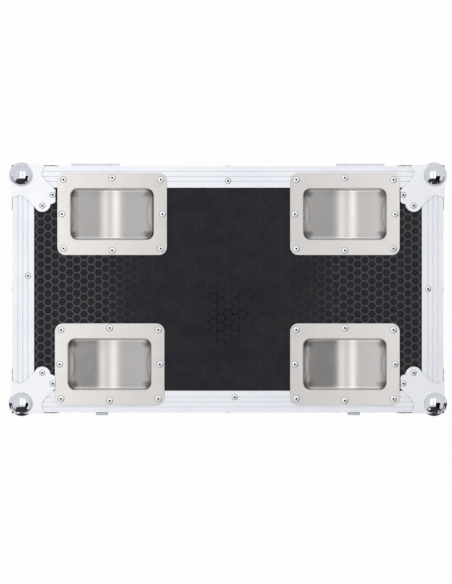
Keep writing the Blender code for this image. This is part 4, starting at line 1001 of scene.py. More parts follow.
@dataclass(frozen=True)
class HexBolt:
    """A hexagon head on a washer."""

    across_corners: float = 7.5 * MM
    height: float = 5.3 * MM
    washer: float = 8.5 * MM
    washer_height: float = 1.4 * MM

    def template(self) -> Data:
        """The head about the Z axis, its seat at the origin."""
        low = self.washer_height
        high = low + self.height
        mesh = turned([(0.0, -SEAT), (self.washer, -SEAT), (self.washer, low - 0.3 * MM),
                       (self.washer - 0.3 * MM, low), (0.0, low)], 32)
        corners = bend((0.0, 0.0), self.across_corners, 0, 300, 5)
        joined(mesh, extruded(corners, low - SEAT, high - 0.5 * MM, 0.25 * MM))
        wide, narrow = self.across_corners * 0.84, self.across_corners * 0.76
        joined(mesh, turned([(0.0, high - 1.2 * MM), (wide, high - 1.2 * MM), (wide, high - 0.4 * MM),
                             (narrow, high), (0.0, high)], 32))
        return stored(mesh, "hexagon_head")


@dataclass(frozen=True)
class Outline:
    """A rounded rectangle about the origin."""

    half_x: float
    half_y: float
    radius: float

    def core(self) -> Pair:
        """Half the sizes of the rectangle through the centres of its corners."""
        return self.half_x - self.radius, self.half_y - self.radius

    def anchor(self, x: float, y: float) -> tuple[float, float, float, float]:
        """Where a point of this outline lies, in a form that fits any other.

        Args:
            x: The point's X.
            y: The point's Y.

        Returns:
            Its shares along the core, and its direction from there.
        """
        core_x, core_y = self.core()
        near_x, near_y = max(-core_x, min(core_x, x)), max(-core_y, min(core_y, y))
        return near_x / core_x, near_y / core_y, (x - near_x) / self.radius, (y - near_y) / self.radius

    def at(self, anchor: tuple[float, float, float, float]) -> Pair:
        """The point of this outline that an anchor names."""
        core_x, core_y = self.core()
        return core_x * anchor[0] + self.radius * anchor[2], core_y * anchor[1] + self.radius * anchor[3]

    def loop(self, arc_steps: int, side_steps: int) -> Mesh:
        """The outline as one loop of edges, from a plane with rounded corners.

        Args:
            arc_steps: Faces round a corner.
            side_steps: Parts of a long side.

        Returns:
            The mesh of the loop.
        """
        mesh = bmesh.new()
        bmesh.ops.create_grid(mesh, x_segments=1, y_segments=1, size=1.0)
        moved(mesh, Matrix.Diagonal((self.half_x, self.half_y, 1, 1)))
        bevelled(mesh, mesh.verts, self.radius, arc_steps, "VERTICES")
        bmesh.ops.delete(mesh, geom=mesh.faces[:], context="FACES_ONLY")
        long_sides = [edge for edge in mesh.edges
                      if abs(edge.verts[0].co.y - edge.verts[1].co.y) < MERGE
                      and edge.calc_length() > self.radius]
        bmesh.ops.subdivide_edges(mesh, edges=long_sides, cuts=side_steps - 1)
        return mesh


@dataclass
class PressedDish:
    """A sheet pressed down from a flange: rolled mouth, upright walls, fillets and a floor."""

    flange: Outline
    mouth: Outline
    end_fillet: float
    side_fillet: float
    fillet_drop: float
    floor: Callable[[float], float]
    side_steps: int
    roll: float = 2 * MM
    least_radius: float = 2 * MM
    arc_steps: int = 10
    roll_steps: int = 5
    fillet_steps: int = 8

    def rings(self) -> Iterable[tuple[Outline, Callable[[float], float]]]:
        """The outlines from the mouth down to the floor, each with its depth along X."""
        for step in range(self.roll_steps + 1):
            turn = QUARTER * step / self.roll_steps
            inset = self.roll * math.sin(turn)
            drop = self.roll * (1 - math.cos(turn))
            mouth = Outline(self.mouth.half_x - inset, self.mouth.half_y - inset, self.mouth.radius - inset)
            yield mouth, lambda x, drop=drop: drop
        for step in range(self.fillet_steps + 1):
            turn = QUARTER * step / self.fillet_steps
            share = 1 - math.cos(turn)
            rise = self.fillet_drop * (1 - math.sin(turn))
            end, side = self.roll + self.end_fillet * share, self.roll + self.side_fillet * share
            radius = max(self.mouth.radius - end, self.least_radius)
            inner = Outline(self.mouth.half_x - end, self.mouth.half_y - side, radius)
            yield inner, lambda x, rise=rise: self.floor(x) - rise

    def shell(self) -> Mesh:
        """The pressed sheet's upper surface, its flange at the origin's level."""
        mesh = self.flange.loop(self.arc_steps, self.side_steps)
        edges, old = mesh.edges[:], self.flange
        for new, depth in self.rings():
            made = bmesh.ops.extrude_edge_only(mesh, edges=edges)["geom"]
            for vert in verts_of(made):
                x, y = new.at(old.anchor(vert.co.x, vert.co.y))
                vert.co = (x, y, -depth(x))
            edges, old = edges_between(made), new
        chains = [edge for edge in edges if abs(sum(vert.co.y for vert in edge.verts)) > MERGE]
        bmesh.ops.bridge_loops(mesh, edges=chains)
        return mesh

    @staticmethod
    def rivet_places(corner: Pair, middle: Pair) -> list[Vector]:
        """The seats of eight rivets round a flange.

        Args:
            corner: The X and Y of a corner rivet.
            middle: The X of the rivet in the middle of an end, and the Y of one in a long side.

        Returns:
            The seats.
        """
        signs = (-1, 1)
        corners = [Vector((sx * corner[0], sy * corner[1], 0)) for sx in signs for sy in signs]
        return [*corners, *(Vector((sign * middle[0], 0, 0)) for sign in signs),
                *(Vector((0, sign * middle[1], 0)) for sign in signs)]


@dataclass
class Shell(Assembly):
    """The panels, the aluminium edging and the closing rims of both halves."""

    edging_rounding: float = 0.12 * MM
    rivet: BlindRivet = BlindRivet(4.7 * MM)
    top_rivets: tuple = ((-325 * MM, 22 * MM), (325 * MM, 0.5 * MM), (0.0, 176 * MM), (11 * MM, -175.5 * MM))
    bottom_rivet_x: float = 110 * MM
    post_rivet_levels: Pair = (270 * MM, 420 * MM)

    def build(self) -> None:
        """Dress the panels and round the trim."""
        shop = self.shop
        for node, laminate in shop.finishes.panels.items():
            shop.dress(node, laminate.build(f"{node}_laminate"))
        for half in Half:
            for part in ("edging", "closing_rim"):
                shop.refine(f"{half.value}_{part}", half.value, "anodised_aluminium", shop.finishes.aluminium,
                            self.edging_rounding)
        for half, spots in ((Half.LID, self.lid_spots()), (Half.BASE, self.base_spots())):
            heads = bmesh.new()
            head = self.rivet.template()
            for where, outward in spots:
                placed(heads, head, Vector(where), Vector(outward))
            shop.rivets(heads, f"{half.value}_edging_rivets", half.value, "anodised_aluminium")

    def lid_spots(self) -> Iterable[tuple[tuple, tuple]]:
        """The seats and directions of the lid's rivets: four on top, and one on each side."""
        for x, y in self.top_rivets:
            yield (x, y, LID_TOP), (0, 0, 1)
        for sign in (-1, 1):
            yield (0, sign * CASE_HALF_Y, LID_TOP - EDGING_MIDDLE), (0, sign, 0)
            yield (sign * CASE_HALF_X, 0, LID_TOP - EDGING_MIDDLE), (sign, 0, 0)

    def base_spots(self) -> Iterable[tuple[tuple, tuple]]:
        """The seats and directions of the base's rivets, along its bottom and up its posts."""
        low = BASE_BOTTOM + EDGING_MIDDLE
        for sign in (-1, 1):
            for other in (-1, 1):
                yield (other * self.bottom_rivet_x, sign * CASE_HALF_Y, low), (0, sign, 0)
                for level in self.post_rivet_levels:
                    yield (other * (CASE_HALF_X - EDGING_MIDDLE), sign * CASE_HALF_Y, level), (0, sign, 0)
                    yield (sign * CASE_HALF_X, other * (CASE_HALF_Y - EDGING_MIDDLE), level), (sign, 0, 0)
            yield (sign * CASE_HALF_X, 0, low), (sign, 0, 0)


@dataclass
class BallCorners(Assembly):
    """Eight chromed ball corners, each with three lobed flanges and six rivets."""

    radius: float = 21 * MM
    inset: float = 14.7 * MM
    depth: float = 9.7 * MM
    sheet: float = 1.5 * MM
    gap: float = 0.3 * MM
    shy: float = 0.03 * MM
    reach: float = 74.4 * MM
    top_limit: float = 69.7 * MM
    tip_cut: float = 12 * MM
    fillet: float = 3.5 * MM
    keep: float = 0.1 * MM
    side_shares: tuple = ((0.692, 0.0), (0.629, 0.168), (0.699, 0.296), (0.83, 0.42))
    lobe_centre: Pair = (0.82, 0.649)
    lobe_radius: float = 0.18
    lobe_degrees: Pair = (-65.0, 87.0)
    rivets: tuple = ((65.7 * MM, 46.8 * MM), (48.3 * MM, 64.2 * MM))
    rivet: BlindRivet = BlindRivet(4.6 * MM)

    def flange(self, limit: float) -> Mesh:
        """One lobed flange as a plate with rounded edges, its outer face down and level with the outside.

        Args:
            limit: How far it may reach along its first direction.

        Returns:
            The plate.
        """
        outer = self.gap + self.sheet
        tip = self.shy - outer
        lobe = bend(self.lobe_centre, self.lobe_radius, *self.lobe_degrees, 10)
        half = [(u * self.reach, v * self.reach) for u, v in (*self.side_shares, *lobe)]
        outline = [(tip, tip), (half[0][0], tip), *half, *((v, u) for u, v in reversed(half)),
                   (tip, half[0][0])]
        mesh = slab([(min(u, limit), v, -outer) for u, v in outline], (0, 0, self.sheet))
        rim = [edge for edge in sharp_edges(mesh, 60)
               if all(abs(vert.co.z + outer) < MERGE for vert in edge.verts)]
        bevelled(mesh, rim, 0.5 * MM, 3)
        # Side and inner faces take material 2, painted shade for the shadow gap along the flange's edge.
        for face in mesh.faces:
            middle = face.calc_center_median()
            if face.normal.z > -0.8 and min(middle.x, middle.y) > 1 * MM - outer:
                face.material_index = 2
        return mesh

    def collar(self, height: float) -> Mesh:
        """The fillet between the ball and one flange, spun about the ball's axis.

        Args:
            height: How deep the ball's centre lies behind the flange's outer face.

        Returns:
            The fillet, with the flange's outer face at the origin's level and outward down.
        """
        centre = math.sqrt((self.radius + self.fillet)**2 - (height + self.fillet)**2)
        end = math.atan2(centre, height + self.fillet)
        angles = [end * (1 - step / 6) for step in range(7)]
        profile = [(centre - self.fillet * math.sin(angle), self.fillet * (math.cos(angle) - 1))
                   for angle in angles]
        profile += [(profile[-1][0], 0.6 * MM), (profile[0][0] - 1.0 * MM, 0.6 * MM)]
        return turned(profile, 64, ring=True)

    def ball(self, centre: Vector) -> Mesh:
        """The ball, open where the case is.

        Args:
            centre: Where it stands.

        Returns:
            Its shell.
        """
        mesh = bmesh.new()
        bmesh.ops.create_uvsphere(mesh, u_segments=56, v_segments=28, radius=self.radius)
        moved(mesh, Matrix.Translation(centre))
        for number in range(3):
            self.cut(mesh, self.axis(number) * self.keep, self.axis(number), False)
        inside = [face for face in mesh.faces if min(face.calc_center_median()) > self.keep]
        bmesh.ops.delete(mesh, geom=inside, context="FACES")
        return mesh

    @staticmethod
    def axis(number: int) -> Vector:
        """The direction of one axis."""
        return Vector(Matrix.Identity(3)[number])

    @staticmethod
    def cut(mesh: Mesh, point: Vector, normal: Vector, clear: bool = True) -> None:
        """Cut along a plane, and clear and close what lies beyond it if asked."""
        cut = bmesh.ops.bisect_plane(mesh, geom=mesh.verts[:] + mesh.edges[:] + mesh.faces[:], dist=1e-7,
                                     plane_co=point, plane_no=normal, clear_outer=clear)
        if clear:
            edges = [part for part in cut["geom_cut"] if isinstance(part, bmesh.types.BMEdge)]
            bmesh.ops.holes_fill(mesh, edges=edges)

    def pattern(self) -> Mesh:
        """The whole corner over a case corner at the origin, which fills +X +Y +Z."""
        outer = self.gap + self.sheet
        mesh = bmesh.new()
        centre = Vector((self.inset, self.inset, self.depth))
        turns = (Matrix(((0, 0, 1), (1, 0, 0), (0, 1, 0))), Matrix(((0, 1, 0), (0, 0, 1), (1, 0, 0))),
                 Matrix.Identity(3))
        for number, limit in ((2, self.top_limit), (0, self.reach), (1, self.reach)):
            turn = turns[number].to_4x4()
            plate = moved(self.flange(limit), turn)
            self.cut(plate, Vector((self.tip_cut / 3,) * 3), Vector((-1, -1, -1)).normalized())
            joined(mesh, plate)
            spot = centre.copy()
            spot[number] = -outer
            collar = moved(self.collar(centre[number] + outer), Matrix.Translation(spot) @ turn)
            for other in range(3):
                if other != number:
                    self.cut(collar, -self.axis(other) * outer, -self.axis(other))
            joined(mesh, collar)
        side = self.shy - outer
        far = self.tip_cut + 0.2 * MM - 2 * side
        joined(mesh, slab(((far, side, side), (side, far, side), (side, side, far)), (0.5 * MM,) * 3))
        joined(mesh, self.ball(centre), 1)
        return mesh

    def heads(self, head: Data) -> Mesh:
        """The six rivets of one corner.

        Args:
            head: The rivet's template.

        Returns:
            The rivets over a case corner at the origin.
        """
        level = -self.gap - self.sheet
        mesh = bmesh.new()
        for u, v in self.rivets:
            places = ((level, u, v), (v, level, u), (min(u, self.top_limit - 4.5 * MM), v, level))
            for number, where in enumerate(places):
                placed(mesh, head, Vector(where), -self.axis(number))
        return mesh

    def build(self) -> None:
        """Build all eight corners."""
        shop, looks = self.shop, self.shop.finishes
        head = self.rivet.template()
        for half, level, sign_z in ((Half.LID, LID_TOP, 1), (Half.BASE, BASE_BOTTOM, -1)):
            for corner in Corner:
                sign_x, sign_y = corner.value
                place = (Matrix.Translation((sign_x * CASE_HALF_X, sign_y * CASE_HALF_Y, level))
                         @ Matrix.Diagonal((-sign_x, -sign_y, -sign_z, 1)))
                name = f"{half.value}_corner_{corner.name.lower()}"
                shop.piece(moved(self.pattern(), place), f"{name}_ball", half.value, "chrome_steel",
                           [looks.corner_flange, looks.ball, looks.seam], [name], sharp=40)
                shop.rivets(moved(self.heads(head), place), f"{name}_rivets", half.value, "chrome_steel")


@dataclass
class CastorDishes(Assembly):
    """The four stainless dishes on the lid that the wheels of a case above drop into."""

    sheet: float = 1.5 * MM
    trough: float = 34 * MM
    valley_radius: float = 62 * MM
    slope: float = math.radians(22)
    shifts: tuple = (2.8 * MM, -1.0 * MM, -1.0 * MM, -1.2 * MM)
    rivet: BlindRivet = BlindRivet(5.2 * MM)

    def floor(self, x: float) -> float:
        """How deep the floor is at a distance along X: two slopes that meet in a rounded valley."""
        along = min(abs(x), self.valley_radius * math.sin(self.slope))
        rise = self.valley_radius - math.sqrt(self.valley_radius**2 - along**2)
        return self.trough - rise - (abs(x) - along) * math.tan(self.slope)

    def build(self) -> None:
        """Build each dish with its rivets."""
        shop = self.shop
        dish = PressedDish(Outline(89 * MM, 66.5 * MM, 13 * MM), Outline(69 * MM, 43 * MM, 13 * MM),
                           11 * MM, 3 * MM, 9 * MM, self.floor, side_steps=44)
        head = self.rivet.template()
        for corner, shift in zip(Corner, self.shifts):
            sign_x, sign_y = corner.value
            name = f"castor_dish_{corner.name.lower()}"
            where = Vector((sign_x * DISH_X + shift, sign_y * DISH_Y, DISH_LEVEL))
            shell = moved(dish.shell(), Matrix.Translation(where))
            shop.piece(shell, f"{name}_pressed", "lid", "stainless_steel",
                       [shop.finishes.pressed], [name], sharp=60, sheet=self.sheet, rounding=0.35 * MM)
            heads = bmesh.new()
            for seat in dish.rivet_places((79 * MM, 56 * MM), (81.5 * MM, 59 * MM)):
                placed(heads, head, where + seat, UP)
            shop.rivets(heads, f"{name}_rivets", "lid", "stainless_steel")


@dataclass
class Castors(Assembly):
    """Four swivel castors: mounting plates, forks, wheels and two brake pedals."""

    swivel_x: float = 223 * MM
    swivel_y: float = 122 * MM
    top: float = 129.5 * MM
    plate: Outline = Outline(52.5 * MM, 42.5 * MM, 8 * MM)
    plate_thickness: float = 3 * MM
    race_radius: float = 27 * MM
    race_height: float = 8 * MM
    gap: float = 0.2 * MM
    kingpin: float = 6 * MM
    kingpin_head: float = 9 * MM
    crown_radius: float = 31 * MM
    crown_height: float = 8 * MM
    trail: float = 32 * MM
    cheek: float = 3 * MM
    cheek_gap: float = 19.2 * MM
    cheek_back: float = 20 * MM
    cheek_rear: float = 56 * MM
    boss: float = 12 * MM
    wheel: float = 50 * MM
    pedal_pivot: Pair = (46 * MM, 106.8 * MM)
    pedal_degrees: float = 12.0
    plate_bolt: HexBolt = HexBolt()
    axle_bolt: HexBolt = HexBolt(across_corners=8.9 * MM, height=3.8 * MM, washer=9.4 * MM,
                                 washer_height=1.1 * MM)

    def levels(self) -> tuple[float, float, float, float]:
        """The heights of the plate's underside, the race's, the crown's top and the crown's underside."""
        low = self.top - self.plate_thickness
        race = low - self.race_height
        return low, race, race - self.gap, race - self.gap - self.crown_height

    def mounting(self) -> Mesh:
        """The plate with its race, kingpin and four bolts, about a swivel axis at the origin."""
        low, race, _, crown_low = self.levels()
        loop = self.plate.loop(8, 1)
        points = sorted((tuple(vert.co.xy) for vert in loop.verts),
                        key=lambda spot: math.atan2(spot[1], spot[0]))
        loop.free()
        mesh = extruded(points, low, self.top, 0.5 * MM)
        wide, head, end = self.race_radius, self.kingpin_head, crown_low - self.gap
        joined(mesh, turned([
            (0, low + 1 * MM), (wide, low + 1 * MM), (wide, race + 4.2 * MM),
            (wide - 0.6 * MM, race + 2.6 * MM), (wide - 2 * MM, race + 1.0 * MM), (wide - 4 * MM, race),
            (self.kingpin, race), (self.kingpin, end), (head, end), (head, end - 2.2 * MM),
            (head - 0.8 * MM, end - 3 * MM), (4 * MM, end - 3 * MM), (3.4 * MM, end - 2.2 * MM),
            (0, end - 2.0 * MM),
        ], 56))
        bolt = self.plate_bolt.template()
        for x in (-42 * MM, 42 * MM):
            for y in (-32 * MM, 32 * MM):
                placed(mesh, bolt, Vector((x, y, low)), -UP, 0.3 + x * 9 + y * 5)
        return mesh

    def fork(self, with_brake: bool) -> Mesh:
        """The crown, the bridge, two cheeks and the axle with its nuts.

        Args:
            with_brake: Whether a pedal's pin crosses it.

        Returns:
            The fork about a swivel axis at the origin.
        """
        _, _, top, low = self.levels()
        bore, wide, outer = self.kingpin + self.gap, self.crown_radius, self.cheek_gap + self.cheek
        mesh = turned([
            (bore, top), (wide - 3.4 * MM, top), (wide - 1.6 * MM, top - 0.9 * MM),
            (wide - 0.5 * MM, top - 2.2 * MM), (wide, top - 3.6 * MM), (wide, low + 0.4 * MM),
            (wide - 0.4 * MM, low), (bore, low),
        ], 64, ring=True)
        round_level = low + self.crown_height / 2 - 4 * MM
        outline = [
            *bend((4 * MM - self.cheek_back, round_level), 4 * MM, 180, 90, 5),
            *bend((self.cheek_rear - 4 * MM, round_level), 4 * MM, 90, 0, 5),
            (self.cheek_rear, low - self.crown_height),
            *bend((self.trail, self.wheel), self.boss, 20, -200, 26),
        ]
        bolt = self.axle_bolt.template()
        for sign, near in ((-1, -outer), (1, self.cheek_gap)):
            cheek = extruded(outline, 0, self.cheek, 0.5 * MM)
            joined(mesh, moved(cheek, Matrix.Translation((0, near + self.cheek, 0)) @ UPRIGHT))
            placed(mesh, bolt, Vector((self.trail, sign * outer, self.wheel)), Vector((0, sign, 0)), 0.2)
        half = self.cheek_gap + 0.5 * MM
        joined(mesh, brick((2 * MM - self.cheek_back, -half, low), (36 * MM, half, low + 2.6 * MM), 0.4 * MM))
        self.crossbar(mesh, (self.trail, self.wheel), 6 * MM, outer)
        if with_brake:
            x, z = self.pedal_pivot
            self.crossbar(mesh, self.pedal_pivot, 2.5 * MM, self.cheek_gap + self.gap)
            for sign in (-1, 1):
                head = turned([(0, -SEAT), (4 * MM, -SEAT), *mm((4, 1.0), (3.2, 1.6), (0, 1.8))], 24)
                turn = Matrix.Rotation(-sign * QUARTER, 4, "X")
                joined(mesh, moved(head, Matrix.Translation((x, sign * outer, z)) @ turn))
        return mesh

    @staticmethod
    def crossbar(mesh: Mesh, centre: Pair, radius: float, half: float) -> None:
        """Add a round bar along Y to a mesh."""
        bar = turned([(0, -half), (radius, -half), (radius, half), (0, half)], 32)
        joined(mesh, moved(bar, Matrix.Translation((centre[0], 0, centre[1])) @ UPRIGHT))

    @staticmethod
    def rolling() -> Mesh:
        """The tyre, the hub with its ribs and the bearing sleeve, about the Z axis."""
        tread = mm((38, 16.2), (38.8, 17.0), (42, 17.5), (45.4, 17.3), (47.4, 16.0), (48.8, 13.6),
                   (49.5, 10.6), (48.9, 10.0), (48.9, 8.8), (49.7, 8.2), (50, 3))
        mesh = turned(both_ways(tread), 72, ring=True)
        hub = turned(both_ways(mm(
            (6.2, 18.4), (6.8, 19), (15.4, 19), (16, 18.4), (16.6, 12.4), (18.6, 11), (33.6, 11), (35, 12.2),
            (35.6, 16.4), (36.4, 17), (38.05, 16.6))), 72, ring=True)
        for sign in (-1, 1):
            low, high = sorted((sign * 10.5 * MM, sign * 14.6 * MM))
            for step in range(8):
                rib = brick((15.5 * MM, -1.3 * MM, low), (36 * MM, 1.3 * MM, high), 0.5 * MM)
                joined(hub, moved(rib, Matrix.Rotation(math.pi / 4 * step + 0.2, 4, "Z")))
        joined(mesh, hub, 1)
        for sign in (-1, 1):
            sleeve = mm((6.2, sign * 18), (6.2, sign * 19.1), (10.5, sign * 19.1), (11.2, sign * 18.8),
                        (11.2, sign * 18))
            joined(mesh, turned(sleeve, 40, ring=True), 2)
        return mesh

    def pedal(self, corner: str, place: Matrix) -> None:
        """The brake pedal: the CAD lever rounded, with ribs where the foot goes.

        Args:
            corner: The castor's corner.
            place: Where the castor's swivel axis is.
        """
        name = f"brake_pedal_{corner}"
        mesh = self.shop.copied(name, 0.5 * MM)
        x, z = self.pedal_pivot
        pivot = Matrix.Translation((x, 0, z))
        raised = place @ pivot @ Matrix.Rotation(-math.radians(self.pedal_degrees), 4, "Y")
        for step in range(5):
            start = 21 * MM + step * 4.4 * MM
            rib = brick((start, -12.4 * MM, 1.6 * MM), (start + 2 * MM, 12.4 * MM, 2.9 * MM), 0.45 * MM)
            joined(mesh, moved(rib, raised))
        self.shop.piece(mesh, f"{name}_ribbed", name, "brake_plastic", [self.shop.finishes.brake], [name])

    def build(self) -> None:
        """Build all four castors."""
        shop, looks = self.shop, self.shop.finishes
        axle = Matrix.Translation((self.trail, 0, self.wheel)) @ UPRIGHT
        for corner in Corner:
            sign_x, sign_y = corner.value
            place = (Matrix.Translation((sign_x * self.swivel_x, sign_y * self.swivel_y, 0))
                     @ Matrix.Rotation(math.pi if sign_x > 0 else 0.0, 4, "Z"))
            name = corner.name.lower()
            plate, fork, wheel = f"castor_plate_{name}", f"castor_fork_{name}", f"castor_wheel_{name}"
            shop.piece(moved(self.mounting(), place), f"{plate}_bolted", "base", "castor_steel",
                       [looks.castor], [plate])
            shop.piece(moved(self.fork(sign_y < 0), place), f"{fork}_pressed", fork, "castor_steel",
                       [looks.castor], [fork])
            shop.piece(moved(self.rolling(), place @ axle), f"{wheel}_tyred", wheel, "wheel_rubber",
                       [looks.tyre, looks.hub, looks.castor], [wheel])
            if sign_y < 0:
                self.pedal(name, place)


@dataclass
class EndHandles(Assembly):
    """A recessed dish and a sprung bail with a ribbed grip on each end."""

    face: float = 351.4 * MM
    level: float = 388.4 * MM
    recess: float = 19 * MM
    pivot_depth: float = 10.8 * MM
    pivot_level: float = 412.4 * MM
    collar_y: float = 62.1 * MM
    reach: float = 50 * MM
    bar: float = 4 * MM
    grip: float = 7.5 * MM
    grip_length: float = 84 * MM
    rib_count: int = 12
    rib_pitch: float = 6 * MM
    arm: float = 52 * MM
    bend_radius: float = 9 * MM
    pin_end: float = 64 * MM
    rivet: BlindRivet = BlindRivet(4.2 * MM)

    def gripped(self) -> Mesh:
        """The ribbed rubber sleeve about the Z axis."""
        half, wide, thin = self.grip_length / 2, self.grip, self.grip - 0.9 * MM
        end = [(0, half), (self.bar + 0.6 * MM, half), (wide - 1.2 * MM, half - 0.5 * MM),
               (wide, half - 2 * MM)]
        profile = [(radius, -height) for radius, height in end]
        for step in range(self.rib_count):
            low = self.rib_pitch * (step - self.rib_count / 2)
            profile += [(wide, low + 0.4 * MM), (thin, low + 1.0 * MM), (thin, low + 2.0 * MM),
                        (wide, low + 2.6 * MM)]
        return turned(profile + end[::-1], 36)

    def bail(self) -> Mesh:
        """The bent bar with its sleeve, in the plane of Y and Z with its pivot at the origin."""
        radius = self.bend_radius
        half = [(self.pin_end - 0.4 * MM, 0.0), *bend((self.arm + radius, -radius), radius, 90, 180, 8),
                *bend((self.arm - radius, radius - self.reach), radius, 0, -90, 8)]
        path = [*half, *((-y, z) for y, z in reversed(half))]
        mesh = tube([Vector((0, y, z)) for y, z in path], self.bar, 24, Vector((1, 0, 0)))
        joined(mesh, moved(self.gripped(), Matrix.Translation((0, 0, -self.reach)) @ UPRIGHT), 1)
        return mesh

    def build(self) -> None:
        """Build both end handles."""
        shop, looks = self.shop, self.shop.finishes
        pressing = PressedDish(Outline(80 * MM, 58 * MM, 12 * MM), Outline(64 * MM, 42 * MM, 12 * MM),
                               4 * MM, 4 * MM, 4 * MM, lambda x: self.recess, side_steps=12)
        head = self.rivet.template()
        for side in Side:
            sign = side.value
            dish, bail = f"handle_dish_{side.name.lower()}", f"handle_bail_{side.name.lower()}"
            place = (Matrix.Translation((sign * self.face, 0, self.level))
                     @ Matrix.Rotation(sign * QUARTER, 4, "Z") @ UPRIGHT)
            shop.piece(moved(pressing.shell(), place), f"{dish}_pressed", "base", "zinc_steel",
                       [looks.end_dish], [dish], sharp=60, sheet=1.2 * MM, rounding=0.3 * MM)
            trim = bmesh.new()
            for seat in pressing.rivet_places((71.5 * MM, 49.6 * MM), (72 * MM, 50 * MM)):
                placed(trim, head, place @ seat, Vector((sign, 0, 0)))
            pivot = Vector((sign * (self.face - self.pivot_depth), 0, self.pivot_level))
            bore = self.bar + 0.2 * MM
            for end in (-1, 1):
                rim = mm((7, 0), (7, 0.7), (6.2, 1.3))
                collar = turned([(bore, 0), *rim, (bore, 1.3 * MM)], 28, ring=True)
                spot = Matrix.Translation(pivot + Vector((0, end * self.collar_y, 0)))
                joined(trim, moved(collar, spot @ Matrix.Rotation(end * QUARTER, 4, "X")))
            shop.rivets(trim, f"{dish}_rivets", "base", "zinc_steel")
            shop.piece(moved(self.bail(), Matrix.Translation(pivot)), f"{bail}_sleeved", bail, "grip_rubber",
                       [looks.zinc, looks.grip], [bail], sharp=40)


@dataclass
class Hinges(Assembly):
    """Two steel hinges on the back, with round knuckles, a pin and three rivets in each leaf."""

    spread: float = 218 * MM
    axis_y: float = 203.3 * MM
    knuckle: float = 3 * MM
    width: float = 80 * MM
    count: int = 5
    gap: float = 0.3 * MM
    rivet: BlindRivet = BlindRivet(3.5 * MM, height=1.0 * MM, hole=1.2 * MM)
    rivets: tuple = ((-27 * MM, 24 * MM), (0.0, 17 * MM), (27 * MM, 24 * MM))

    def barrels(self, mesh: Mesh, middle: float, first: int) -> None:
        """Add every other knuckle of a hinge to a leaf, smoothly round.

        Args:
            mesh: The leaf.
            middle: The hinge's middle along X.
            first: The number of the leaf's first knuckle.
        """
        share = self.width / self.count
        half, small = share / 2 - self.gap, self.knuckle - 0.3 * MM
        for number in range(first, self.count, 2):
            barrel = turned([(0, -half), (small, -half), (self.knuckle, 0.3 * MM - half),
                             (self.knuckle, half - 0.3 * MM), (small, half), (0, half)], 28)
            centre = middle - self.width / 2 + share * (number + 0.5)
            spot = Matrix.Translation((centre, self.axis_y, SPLIT))
            joined(mesh, moved(barrel, spot @ Matrix.Rotation(QUARTER, 4, "Y")))

    def build(self) -> None:
        """Build both hinges."""
        shop = self.shop
        head = self.rivet.template()
        for side in Side:
            middle = side.value * self.spread
            for half, first, sign in ((Half.LID, 1, 1), (Half.BASE, 0, -1)):
                node = f"hinge_{half.value}_leaf_{side.name.lower()}"
                mesh = shop.copied(node, 0.15 * MM)
                self.barrels(mesh, middle, first)
                shop.piece(mesh, f"{node}_rolled", half.value, "zinc_steel", [shop.finishes.hinge], [node])
                heads = bmesh.new()
                for x, rise in self.rivets:
                    where = Vector((middle + x, FITTING_FACE, SPLIT + sign * rise))
                    placed(heads, head, where, Vector((0, 1, 0)))
                shop.rivets(heads, f"{node}_rivets", half.value, "zinc_steel")


@dataclass
class Latches(Assembly):
    """Two recessed butterfly latches: keeper, dish, turning handle and hooked tongue."""

    spread: float = 207 * MM
    hub_level: float = 506 * MM
    fold_x: float = 8.6 * MM
    rivet_x: float = 27.1 * MM
    rivet: BlindRivet = BlindRivet(2.9 * MM, height=0.9 * MM, hole=1.0 * MM)

    def handle(self, side: Side) -> None:
        """The bow-tie handle: rounded, its wings sunk inside a rim, with a domed hub and a fold.

        Args:
            side: Which latch it turns.
        """
        node = f"latch_handle_{side.name.lower()}"
        mesh = self.shop.copied(node, 0.0)
        wings = [face for face in mesh.faces if face.normal.y < -0.99 and face.calc_area() > 1e-4]
        bmesh.ops.inset_region(mesh, faces=wings, thickness=1.8 * MM, depth=-0.55 * MM, use_even_offset=True,
                               use_boundary=True)
        bevelled(mesh, sharp_edges(mesh, 30), 0.22 * MM)
        hub = Vector((side.value * self.spread, -FITTING_FACE, self.hub_level))
        profile = mm((0, -1.4), (6.4, -1.4), (6.4, 0.5), (5.6, 1.1), (3.0, 1.6), (1.2, 1.7), (0, 1.7))
        dome = turned(profile, 36)
        joined(mesh, moved(dome, Matrix.Translation(hub) @ UPRIGHT))
        for sign in (-1, 1):
            barrel = turned(mm((0, -5.4), (1.2, -5.4), (1.5, -5.1), (1.5, 5.1), (1.2, 5.4), (0, 5.4)), 20)
            joined(mesh, moved(barrel, Matrix.Translation(hub + Vector((sign * self.fold_x, 0.6 * MM, 0)))))
        self.shop.piece(mesh, f"{node}_winged", node, "zinc_steel", [self.shop.finishes.zinc], [node])

    def build(self) -> None:
        """Build both latches."""
        shop, zinc = self.shop, self.shop.finishes.zinc
        head = self.rivet.template()
        for side in Side:
            name = side.name.lower()
            keeper, dish, tongue = f"latch_keeper_{name}", f"latch_dish_{name}", f"latch_tongue_{name}"
            shop.refine(keeper, "lid", "zinc_steel", zinc, 0.3 * MM)
            shop.refine(dish, "base", "zinc_steel", zinc, 0.3 * MM)
            shop.refine(tongue, tongue, "zinc_steel", zinc, 0.35 * MM)
            self.handle(side)
            for node, body, rises in ((keeper, "lid", (12 * MM,)), (dish, "base", (-8 * MM, -66 * MM))):
                heads = bmesh.new()
                for x in (-self.rivet_x, self.rivet_x):
                    for rise in rises:
                        where = Vector((side.value * self.spread + x, -FITTING_FACE, SPLIT + rise))
                        placed(heads, head, where, Vector((0, -1, 0)))
                shop.rivets(heads, f"{node}_rivets", body, "zinc_steel")


